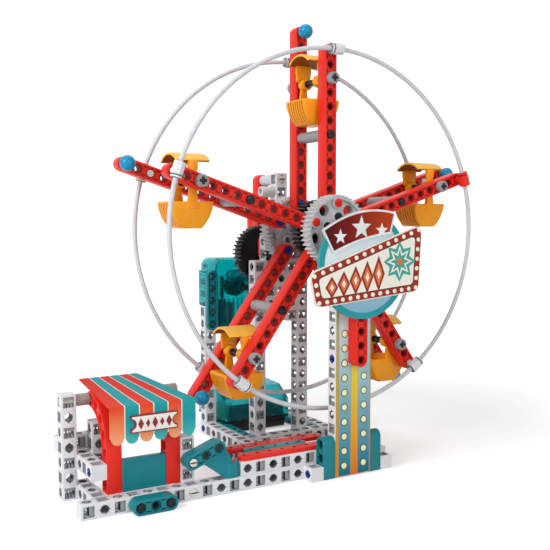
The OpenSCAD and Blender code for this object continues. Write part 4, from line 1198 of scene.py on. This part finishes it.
def pin_head(place, front, axis, sign, radius=0.32, high=0.1):
    """A low round pin head with a slot across it, its face at a distance along an axis."""
    start = Vector(place)
    start[axis] = front if sign > 0 else front - high
    head = round_edges(drum(start, axis, high, radius, 24), 0.03, angle=SHARP)
    reach = Vector((4 * OVER, 4 * OVER, 4 * OVER))
    low, far = Vector(place) - reach, Vector(place) + reach
    across = X if axis != X else Y
    up = 3 - axis - across
    low[up], far[up] = place[up] - HEAD_SLOT_HALF, place[up] + HEAD_SLOT_HALF
    low[axis], far[axis] = sorted((front - sign * OVER, front + sign * HEAD_SLOT_DEPTH))
    return cut(head, [box(low, far)])


def wheel_pins(radius, head_y, start_y, length):
    """A pin through each arm at a distance from the axle."""
    parts = []
    for angle in ARM_ANGLES:
        parts.append(pin_head(spoke(radius, angle), head_y, Y, 1))
        parts.append(drum(spoke(radius, angle, start_y), Y, length, PIN_R, 20))
    return parts


class WheelToyBuildHub(bpy.types.Operator):
    """Builds the wheel's axles, bushes, spacers, pins and ball knobs"""

    bl_idname = "wheel_toy.build_hub"
    bl_label = "Build the axles and knobs"

    def execute(self, context):
        axles = [cross_axle(spoke(AXLE_R, angle), 1.46, 7.58) for angle in ARM_ANGLES]
        keep(axles, "gondola_cross_axles", "black_plastic", "gondola_axles", body="wheel")
        axle = cross_axle(WHEEL, -1, 10.2)
        keep(axle, "main_cross_axle", "black_plastic", "main_axle", body="wheel")
        parts = []
        for angle in ARM_ANGLES:
            place = spoke(AXLE_R, angle)
            parts += [bush(place, 1.5, 1.99), bush(place, 7.01, 7.5)]
        parts.append(bush(WHEEL, 0.05, 1))
        keep(parts, "axle_bushes_crossed", "grey_plastic", "axle_bushes", body="wheel", look="bush_grey")
        parts = [bush(spoke(SPACER_R, angle), 3.01, 5.99, cross=False) for angle in ARM_ANGLES]
        parts.append(bush(WHEEL, 4, 7, cross=False))
        keep(parts, "arm_spacer_tubes", "grey_plastic", "arm_spacers", body="wheel", look="bush_grey")
        pins = wheel_pins(SPACER_R, 1.88, 1.98, 5) + wheel_pins(1, 0.9, 1, 3)
        keep(pins, "hub_pins_black", "black_plastic", "hub_pins", body="wheel")
        keep(wheel_pins(2, 0.9, 1, 2), "hub_pins_red", "beam_red", body="wheel")
        keep(wheel_pins(2, 5.92, 6, 2), "hub_pins_blue", "pin_blue", body="wheel")
        knobs = []
        for angle in ARM_ANGLES:
            place = spoke(KNOB_PLACE_R, angle, 5.45)
            knob = apply_place(added(bpy.ops.mesh.primitive_uv_sphere_add, segments=40, ring_count=20,
                                     radius=KNOB_R, location=place))
            open_up(knob, lambda f: f.calc_center_median().y > place.y + 0.5)
            close_up(knob)
            collar = round_edges(drum(place + Vector((0, 0.4, 0)), Y, 0.2, 0.34, 24), 0.03)
            knobs += [knob, collar, drum(place + Vector((0, 0.5, 0)), Y, 1.05, PIN_R, 20)]
        keep(knobs, "ball_knobs", "knob_blue", "arm_knobs", body="wheel", smooth=KNOB_SMOOTH_ANGLE)
        return {"FINISHED"}


# Gearbox and battery box

CASE = ((16, 14, 9), (20, 17, 15))
CASE_ROUND = 0.8
CASE_STEPS = 6
WALL = 0.18
OUT_SHAFT = (18.5, 12.5)
MOTOR = Vector((17.35, 15.5, 9.18))
MOTOR_R = 1.1
MOTOR_FLAT = 0.95
TRAY = ((16.8, 13, 0.15), (22.2, 18.4, 1))
FLANGE = ((16.4, 13, 1), (22.6, 18.4, 1.15))
CELL_X = (17.85, 19.5, 21.15)
CELL_Z = 0.98
CELL_R = 0.725
CELL_Y = (13.2, 18.2)
CELL_GAP = 0.02
LID_X = (16.4, 22.6)
LID_SIDE = ((13, 1.15), (13, 2.6), (14.5, 3.6), (18.4, 3.8), (18.4, 1.15))
LID_INSIDE = ((13.18, 1), (13.18, 2.5), (14.57, 3.42), (18.22, 3.61), (18.22, 1))
SWITCH = (19.27, 18.42, 2.45)


def case_form(inset_by, y0, y1):
    """The case's outline, round at its upper corners and drawn in by a distance, between two Y."""
    (left, _, low), (right, _, high) = CASE
    left, low, right, high = left + inset_by, low + inset_by, right - inset_by, high - inset_by
    radius = CASE_ROUND - inset_by
    outline = [(left, low)]
    outline += arc(left + radius, high - radius, radius, 180, -90, CASE_STEPS)
    outline += arc(right - radius, high - radius, radius, 90, -90, CASE_STEPS)
    outline.append((right, low))
    return plate(outline, y0, y1 - y0)


def gearbox_case():
    """The parts of the clear case: a rounded shell with a seam, ribs, a boss and open shaft holes."""
    front, back = CASE[0][Y], CASE[1][Y]
    shaft_x, shaft_z = OUT_SHAFT
    case = case_form(0, front, back)
    tidy_mesh(case)
    round_edges(case, 0.08, 3, SHARP)
    cut(case, [case_form(WALL, front + WALL, back - WALL)])
    seam = case_form(-0.1, front + 1.55, front + 1.61)
    cut(seam, [case_form(0.06, front + 1.5, front + 1.7)])
    cut(case, [seam])
    cut(case, [hole((shaft_x, front, shaft_z), Y, back - front)])
    parts = [case, link_across((17.4, 13, 13.5), 2, 1)]
    for i in range(7):
        rib = box((16.75 + 0.42 * i, front - 0.09, 9.5), (16.87 + 0.42 * i, front + 0.03, 11.6))
        parts.append(round_edges(rib, 0.03))
    for y in (front - 0.1, back - 0.02):
        collar = round_edges(drum((shaft_x, y, shaft_z), Y, 0.12, 0.44, 28), 0.03, angle=SHARP)
        parts.append(cut(collar, [hole((shaft_x, y, shaft_z), Y, 0.12)]))
    slab = round_edges(box((15, 14, 11), (16, 15.25, 14)), 0.07, 3)
    parts.append(cut(slab, [hole((15.5, 14, z), Y, 1.3) for z in (11.5, 12.5, 13.5)]))
    return parts


def battery_cover():
    """The parts of the clear cover: its shell with a raised top panel and switch slot, and its ribs."""
    cover = round_edges(on_side(LID_SIDE, *LID_X), 0.1, 3, 10)
    inset(cover, lambda f: f.normal.z > 0.5 and f.calc_area() > 5, (0.3, 0), (0.04, 0.05), each=True)
    cut(cover, [on_side(LID_INSIDE, LID_X[0] + WALL, LID_X[1] - WALL)])
    cut(cover, [box((19, 18.1, 2.2), (20, 18.5, 2.7))])
    parts = [cover]
    for i in range(6):
        rib = box((18.2, 17.1 + 0.18 * i, 3.72), (20.8, 17.18 + 0.18 * i, 3.9))
        parts.append(round_edges(rib, 0.025))
    return parts


def battery_tray():
    """The parts of the battery tray: its body with three bays, its ribs and its contact wall."""
    tray = round_edges(box(*TRAY), 0.1, 3)
    cut(tray, [box(*FLANGE)], "UNION")
    start, end = CELL_Y[0] - CELL_GAP, CELL_Y[1] + CELL_GAP
    cut(tray, [drum((x, start, CELL_Z), Y, end - start, CELL_R + CELL_GAP) for x in CELL_X])
    cut(tray, [box((CELL_X[0], start, CELL_Z), (CELL_X[2], end, 1.4))])
    parts = [tray]
    for x in (16.95, 22.05):
        for i in range(9):
            y = 13.4 + 0.6 * i
            parts.append(round_edges(box((x - 0.19, y, 0.25), (x + 0.19, y + 0.16, 0.98)), 0.03))
    parts.append(round_edges(box((16.85, 13.25, 1.16), (22.15, 13.42, 2.4)), 0.05))
    return parts


class WheelToyBuildGearbox(bpy.types.Operator):
    """Builds the clear gearbox with its motor, and the battery box with its cover and switch"""

    bl_idname = "wheel_toy.build_gearbox"
    bl_label = "Build the gearbox and battery box"

    def execute(self, context):
        keep(gearbox_case(), "clear_gearbox_case", "case_clear_teal", "gearbox_shell",
             look="case_clear_teal")
        can = round_edges(drum(MOTOR, Z, 1.95, MOTOR_R, 40), 0.12, 3, SHARP)
        cut(can, [bar((MOTOR.x - 2, MOTOR.x + 2),
                      (MOTOR.y + side * MOTOR_FLAT, MOTOR.y + side * (MOTOR_FLAT + 1)), (9.6, 11))
                  for side in (-1, 1)])
        neck = drum(MOTOR + Vector((0, 0, 1.9)), Z, 0.3, 0.36, 24)
        screws = [pin_head((x, 17, z), 17.04, Y, -1, radius=0.17, high=0.08)
                  for x in (16.5, 19.5) for z in (9.5, 14.2)]
        parts = [can, round_edges(neck, 0.04, angle=SHARP), *screws]
        keep(parts, "motor_can_and_screws", "metal_can", "gearbox_motor")
        keep(battery_tray(), "battery_tray", "black_plastic", "battery_box")
        wraps, ends = [], []
        for x in CELL_X:
            wrap = drum((x, CELL_Y[0] + 0.12, CELL_Z), Y, 4.66, CELL_R, 40)
            wraps.append(round_edges(wrap, 0.06, 3, SHARP))
            ends.append(drum((x, CELL_Y[0], CELL_Z), Y, 0.3, 0.27, 24))
            ends.append(drum((x, CELL_Y[0] + 0.08, CELL_Z), Y, 4.8, 0.62))
        keep(wraps, "cell_wraps", "cell_wrap", "battery_cells")
        caps = round_edges(join(ends), 0.03, angle=SHARP)
        keep(caps, "cell_ends", "metal_can", look="screw_steel")
        keep(battery_cover(), "clear_battery_cover", "case_clear_teal", "battery_lid", look="clear_cover")
        x, y, z = SWITCH
        grip = round_edges(box((x - 0.4, y, z - 0.4), (x + 0.4, y + 0.25, z + 0.4)), 0.06, 3)
        cut(grip, [box((x - 0.25 + 0.2 * i, y + 0.18, z - 0.5), (x - 0.15 + 0.2 * i, y + 0.4, z + 0.5))
                   for i in range(3)])
        neck = box((x - 0.25, y - 0.23, z - 0.2), (x + 0.25, y + 0.02, z + 0.2))
        inner = round_edges(box((x - 0.4, y - 0.47, z - 0.4), (x + 0.4, y - 0.22, z + 0.4)), 0.05)
        parts = [grip, neck, inner]
        keep(parts, "power_slider", "black_plastic", "power_switch", body="power_switch")
        return {"FINISHED"}


# Fasteners and spacers of the stand

LIGHT_PINS = (((7.5, 0, 0.5), 2), ((7.5, 0, 2.5), 2), ((19.5, 9, 19.5), 4), ((19.5, 9, 21.5), 4))
BLUE_PINS = (((16, -0.5, 0.5), 7), ((15, 14.5, 0.5), 1), ((1, 1.5, 2.5), 2), ((18, -0.5, 16.5), 3),
             ((18, -0.5, 8.5), 3))


def whole_pin(start, length, axis, radius=0.27, high=0.06):
    """A pin from the face that its head lies on, with a slot in its head."""
    place = Vector(start)
    head = pin_head(place, place[axis] - high, axis, 1, radius, 2 * high)
    return [head, drum(place, axis, length, STAND_PIN_R, 20)]


class WheelToyBuildPins(bpy.types.Operator):
    """Builds the stand's pins, its roof rod and its spacer tubes"""

    bl_idname = "wheel_toy.build_pins"
    bl_label = "Build the pins"

    def execute(self, context):
        parts = [round_edges(drum((0.02, 4.5, 6.5), X, 8.16, STAND_PIN_R, 24), 0.04, angle=SHARP)]
        for start, length in LIGHT_PINS:
            parts += whole_pin(start, length, Y)
        parts += [drum((19.5, -2, z), Y, 1.06, STAND_PIN_R, 20) for z in (13.5, 15.5)]
        keep(parts, "ivory_pins", "pin_light", "stand_pins_light")
        parts = []
        for start, length in BLUE_PINS:
            parts += whole_pin(start, length, X)
        keep(parts, "blue_pins", "pin_blue", "stand_pins_blue")
        parts = []
        for x in (3.5, 5.5):
            parts += whole_pin((x, -0.98, 0.5), 2, Y, 0.25, 0.02)
        keep(parts, "black_link_pins", "black_plastic")
        pin = round_edges(drum((10.5, 0.5, 1.4), Z, 0.63, STAND_PIN_R, 24), 0.04, angle=SHARP)
        keep(pin, "red_block_pin", "beam_red")
        tubes = [bush(Vector((19.5, 0, z)), 10.01, 11.99, cross=False) for z in (19.5, 21.5)]
        side = round_edges(drum((17.8, 9.5, 20.5), X, 1.19, BUSH_R), SOFT_EDGE, angle=SHARP)
        tubes.append(cut(side, [hole((17.8, 9.5, 20.5), X, 0.3)]))
        keep(tubes, "tower_spacer_tubes", "tube_white", "tower_spacers")
        return {"FINISHED"}


# Gondolas

GONDOLA_Y = 4.5
BUCKET_TOP = -1.35
BUCKET_BOTTOM = -3.2
BUCKET_SIDE = ((BUCKET_TOP, 1.55), (-1.9, 1.5), (-2.5, 1.3), (-2.95, 1.0), (BUCKET_BOTTOM, 0.8))
BUCKET_Y = (1.4, 1.1)
BUCKET_FLOOR = BUCKET_BOTTOM + 0.18
BUCKET_RIM = 0.14
GROOVES = 7
GROOVE_STEP = 0.3
GROOVE_W = 0.13
GROOVE_ROWS = (-1.5, -1.9, -2.2, -2.5, -2.75, -2.95, -3.06)
RING_R = 0.45
CANOPY_HALF = (1.25, 1.3)
CANOPY_TOP = 2
CANOPY_EDGE = 1.3
CANOPY_THICK = 0.2
CANOPY_STEPS = 14


def bucket_half(z, grown=0.0):
    """Half the width of a bucket at a height."""
    for (z0, x0), (z1, x1) in zip(BUCKET_SIDE, BUCKET_SIDE[1:]):
        if z >= z1:
            return x0 + (x1 - x0) * (z0 - z) / (z0 - z1) + grown
    return BUCKET_SIDE[-1][1] + grown


def in_groove(face):
    """One for a face inside a bucket's grooves, which are painted darker orange as shade, else nought."""
    x, y, z = face.center
    if not (-3.1 < z < -1.45 and abs(y) < 1.1):
        return 0
    inside = bucket_half(z) - abs(x)
    return int(0.02 < inside < sizes().groove + 0.03 and x * face.normal.x >= -0.001)


def bucket():
    """A tapered bucket with a lip, grooved ends and two hangers, about its axle."""
    right = [(x, z) for z, x in BUCKET_SIDE]
    body = plate(right + [(-x, z) for x, z in reversed(right)], -BUCKET_Y[0], 2 * BUCKET_Y[0])
    for vertex in body.data.vertices:
        low = (BUCKET_TOP - vertex.co.z) / (BUCKET_TOP - BUCKET_BOTTOM)
        vertex.co.y *= 1 - low * (1 - BUCKET_Y[1] / BUCKET_Y[0])
    tidy_mesh(body)
    round_edges(body, 0.1, 3, SHARP)
    edit(body, lambda f: f.normal.z > 0.99 and f.calc_area() > 1)
    bpy.ops.mesh.inset(thickness=BUCKET_RIM, depth=0)
    bpy.ops.mesh.extrude_region_move(TRANSFORM_OT_translate={"value": (0, 0, BUCKET_FLOOR - BUCKET_TOP)})
    bpy.ops.transform.resize(value=(0.56, 0.8, 1), center_override=(0, 0, BUCKET_FLOOR))
    leave()
    tools = []
    for side in (-1, 1):
        band = [(side * bucket_half(z, 0.2), z) for z in GROOVE_ROWS]
        band += [(side * bucket_half(z, -sizes().groove), z) for z in reversed(GROOVE_ROWS)]
        for i in range(GROOVES):
            y = (i - (GROOVES - 1) / 2) * GROOVE_STEP
            tools.append(plate(band, y - GROOVE_W / 2, GROOVE_W))
            tidy_mesh(tools[-1])
    cut(body, tools)
    parts = [body]
    for side in (-1, 1):
        ring = round_edges(drum((0, side - 0.35, 0), Y, 0.7, RING_R), 0.05, angle=SHARP)
        face = side * BUCKET_Y[0]
        neck = bar((-0.2, 0.2), (face, face - side * 0.3), (BUCKET_TOP - 0.5, -0.1))
        for vertex in neck.data.vertices:
            if vertex.co.z < -1:
                vertex.co.x *= 2.2
        cut(ring, [round_edges(neck, 0.05)], "UNION")
        parts.append(cut(ring, [drum((0, side - 1, 0), Y, 2, HOLE_R, 24)]))
    tub = join(parts)
    # The grooves get the darker orange, as painted shade
    paint(tub, ["gondola_orange", "groove_shade_orange"], in_groove)
    return tub


def canopy():
    """The arched roof on its front post and its broad rear post, about the axle."""
    half_x, half_y = CANOPY_HALF
    rise = CANOPY_TOP - CANOPY_EDGE - CANOPY_THICK
    radius = (half_y ** 2 + rise ** 2) / (2 * rise)
    middle = CANOPY_TOP - CANOPY_THICK - radius
    half_angle = math.degrees(math.asin(half_y / radius))
    outline = arc(0, middle, radius + CANOPY_THICK, 90 + half_angle, -2 * half_angle, CANOPY_STEPS)
    outline += arc(0, middle, radius, 90 - half_angle, 2 * half_angle, CANOPY_STEPS)
    roof = round_edges(on_side(outline, -half_x, half_x), 0.07, 3, SHARP)
    # Faces that look down get the dark orange, as painted shade under the roof
    paint(roof, ["canopy_yellow", "canopy_under"], lambda face: int(face.normal.z < -0.6))
    parts = [roof]
    for side, half_w in ((-1, 0.3), (1, 0.6)):
        span = (side * 1.15, side * 1.4)
        post = round_edges(bar((-half_w, half_w), span, (0.2, 1.5)), 0.05)
        cut(post, [drum((0, side - 1, 0), Y, 2, RING_R + 0.04)])
        parts.append(coated(post, "gondola_orange"))
        for x in (-half_w, half_w):
            rib = round_edges(bar((x - 0.05, x + 0.05), span, (0.8, 1.5)), 0.02)
            parts.append(coated(rib, "gondola_orange"))
    return join(parts)


class WheelToyBuildGondolas(bpy.types.Operator):
    """Builds the five gondolas, each a grooved bucket under an arched canopy"""

    bl_idname = "wheel_toy.build_gondolas"
    bl_label = "Build the gondolas"

    def execute(self, context):
        lower, upper = bucket(), canopy()
        for i, angle in enumerate(ARM_ANGLES):
            place = Matrix.Translation(spoke(AXLE_R, angle, GONDOLA_Y))
            name = f"gondola_{i + 1}"
            keep(copy_of(lower, place), name + "_bucket", "gondola_orange", name, body=name)
            keep(copy_of(upper, place), name + "_canopy", "gondola_orange", body=name)
        drop(lower)
        drop(upper)
        return {"FINISHED"}


# Camera, lights and floor

CAMERA_PLACE = (-14.083, -47.559, 18.512)
CAMERA_TURN = (90 - 4.110, 0, -30.231)
PHOTO_SIDE = 550
FOCAL_PIXELS = 812.85
SENSOR = 36
AMBIENT = 0.14
AIM = Vector((0, 0, 0.15))


def lamp(name, place, size, power):
    """A soft round lamp that shines on the toy."""
    light = bpy.data.lights.new(name, "AREA")
    light.shape = "DISK"
    light.size = size
    light.energy = power
    obj = bpy.data.objects.new(name, light)
    bpy.context.scene.collection.objects.link(obj)
    obj.location = place
    obj.rotation_euler = (AIM - Vector(place)).to_track_quat("-Z", "Y").to_euler()


def seen_straight(nodes, links):
    """One where the camera, a reflection or something clear looks at the backdrop, else nought."""
    seen = nodes.new("ShaderNodeLightPath")
    value = seen.outputs["Is Camera Ray"]
    for kind in ("Is Glossy Ray", "Is Transmission Ray"):
        most = nodes.new("ShaderNodeMath")
        most.operation = "MAXIMUM"
        links.new(value, most.inputs[0])
        links.new(seen.outputs[kind], most.inputs[1])
        value = most.outputs["Value"]
    return value


def backdrop_strength(nodes, links):
    """White where it is looked at, and the ambient strength as light on the toy."""
    span = span_of(nodes, (0, 1), (AMBIENT, 1))
    links.new(seen_straight(nodes, links), span.inputs["Value"])
    return span.outputs["Result"]


def floor_strength(nodes, links):
    """Weak under the toy, where its shadow falls, and white further out."""
    where = nodes.new("ShaderNodeTexCoord")
    far = nodes.new("ShaderNodeVectorMath")
    far.operation = "LENGTH"
    links.new(where.outputs["Object"], far.inputs[0])
    fade = span_of(nodes, (0.25, 0.8), (0.4, 1))
    links.new(far.outputs["Value"], fade.inputs["Value"])
    lift = nodes.new("ShaderNodeMath")
    lift.operation = "MULTIPLY"
    links.new(seen_straight(nodes, links), lift.inputs[0])
    links.new(fade.outputs["Result"], lift.inputs[1])
    return lift.outputs["Value"]


def set_scenery(obj, name, finish_name, shade, shine, strength_of):
    """Gives a piece of the stage a dull finish with a glow of its own strength."""
    obj.name = name
    finish, nodes, links, shader = new_finish(finish_name)
    shader.inputs["Base Color"].default_value = (*shade, 1)
    shader.inputs["Roughness"].default_value = 0.8
    shader.inputs["Specular IOR Level"].default_value = shine
    glow = nodes.new("ShaderNodeEmission")
    links.new(strength_of(nodes, links), glow.inputs["Strength"])
    both = nodes.new("ShaderNodeAddShader")
    links.new(shader.outputs["BSDF"], both.inputs[0])
    links.new(glow.outputs["Emission"], both.inputs[1])
    links.new(both.outputs["Shader"], nodes["Material Output"].inputs["Surface"])
    obj.data.materials.append(finish)


class WheelToySetStage(bpy.types.Operator):
    """Sets the floor, the lights, the world and the camera"""

    bl_idname = "wheel_toy.set_stage"
    bl_label = "Set the stage"

    def execute(self, context):
        scene = context.scene
        scene.view_settings.view_transform = "Standard"
        floor = added(bpy.ops.mesh.primitive_plane_add, size=8)
        set_scenery(floor, "studio_floor", "pale floor", (0.86, 0.86, 0.87), 0.1, floor_strength)
        wall = added(bpy.ops.mesh.primitive_cylinder_add, vertices=96, radius=3.9, depth=7,
                     end_fill_type="NOTHING")
        set_scenery(wall, "studio_wall", "pale wall", (0.5, 0.5, 0.5), 0.5, backdrop_strength)
        world = bpy.data.worlds.new("studio")
        scene.world = world
        world.use_nodes = True
        nodes, links = world.node_tree.nodes, world.node_tree.links
        backdrop = nodes["Background"]
        links.new(backdrop_strength(nodes, links), backdrop.inputs["Strength"])
        backdrop.inputs["Color"].default_value = (1, 1, 1, 1)
        lamp("left key", (-1.1, -0.35, 0.75), 0.7, 10.5)
        lamp("front fill", (0.1, -1.5, 0.7), 1.0, 6.5)
        lamp("top soft", (0, 0.1, 1.3), 0.9, 4.5)
        view = bpy.data.cameras.new("photo view")
        view.sensor_width = SENSOR
        view.lens = FOCAL_PIXELS / PHOTO_SIDE * SENSOR
        view.clip_start = 0.01
        camera = bpy.data.objects.new("photo view", view)
        scene.collection.objects.link(camera)
        camera.location = TO_METRES @ Vector(CAMERA_PLACE)
        camera.rotation_euler = [math.radians(a) for a in CAMERA_TURN]
        scene.camera = camera
        return {"FINISHED"}


class WheelToyPanel(bpy.types.Panel):
    """Lists the toy's pieces, colours and sizes"""

    bl_idname = "VIEW3D_PT_wheel_toy"
    bl_label = "Ferris Wheel"
    bl_space_type = "VIEW_3D"
    bl_region_type = "UI"
    bl_category = "Ferris Wheel"

    def draw(self, context):
        for group in (colours(), sizes()):
            for name in group.bl_rna.properties.keys():
                if name not in ("rna_type", "name"):
                    self.layout.prop(group, name)
        for operator in STEPS:
            self.layout.operator(operator.bl_idname)


STEPS = (
    WheelToyDressFrame,
    WheelToyBuildBeams,
    WheelToyBuildLinks,
    WheelToyBuildArms,
    WheelToyBuildBooth,
    WheelToyBuildSign,
    WheelToyBuildCard,
    WheelToyBuildRims,
    WheelToyBuildHub,
    WheelToyBuildGearbox,
    WheelToyBuildPins,
    WheelToyBuildGondolas,
    WheelToySetStage,
)
CLASSES = (WheelToyColours, WheelToySizes, *STEPS, WheelToyPanel)


def register():
    for item in CLASSES:
        bpy.utils.register_class(item)
    bpy.types.Scene.wheel_toy_colours = bpy.props.PointerProperty(type=WheelToyColours)
    bpy.types.Scene.wheel_toy_sizes = bpy.props.PointerProperty(type=WheelToySizes)


def unregister():
    del bpy.types.Scene.wheel_toy_sizes
    del bpy.types.Scene.wheel_toy_colours
    for item in reversed(CLASSES):
        bpy.utils.unregister_class(item)


def main():
    register()
    for step in STEPS:
        group, name = step.bl_idname.split(".")
        getattr(getattr(bpy.ops, group), name)()
    bpy.ops.object.select_all(action="DESELECT")


if __name__ == "__main__":
    main()
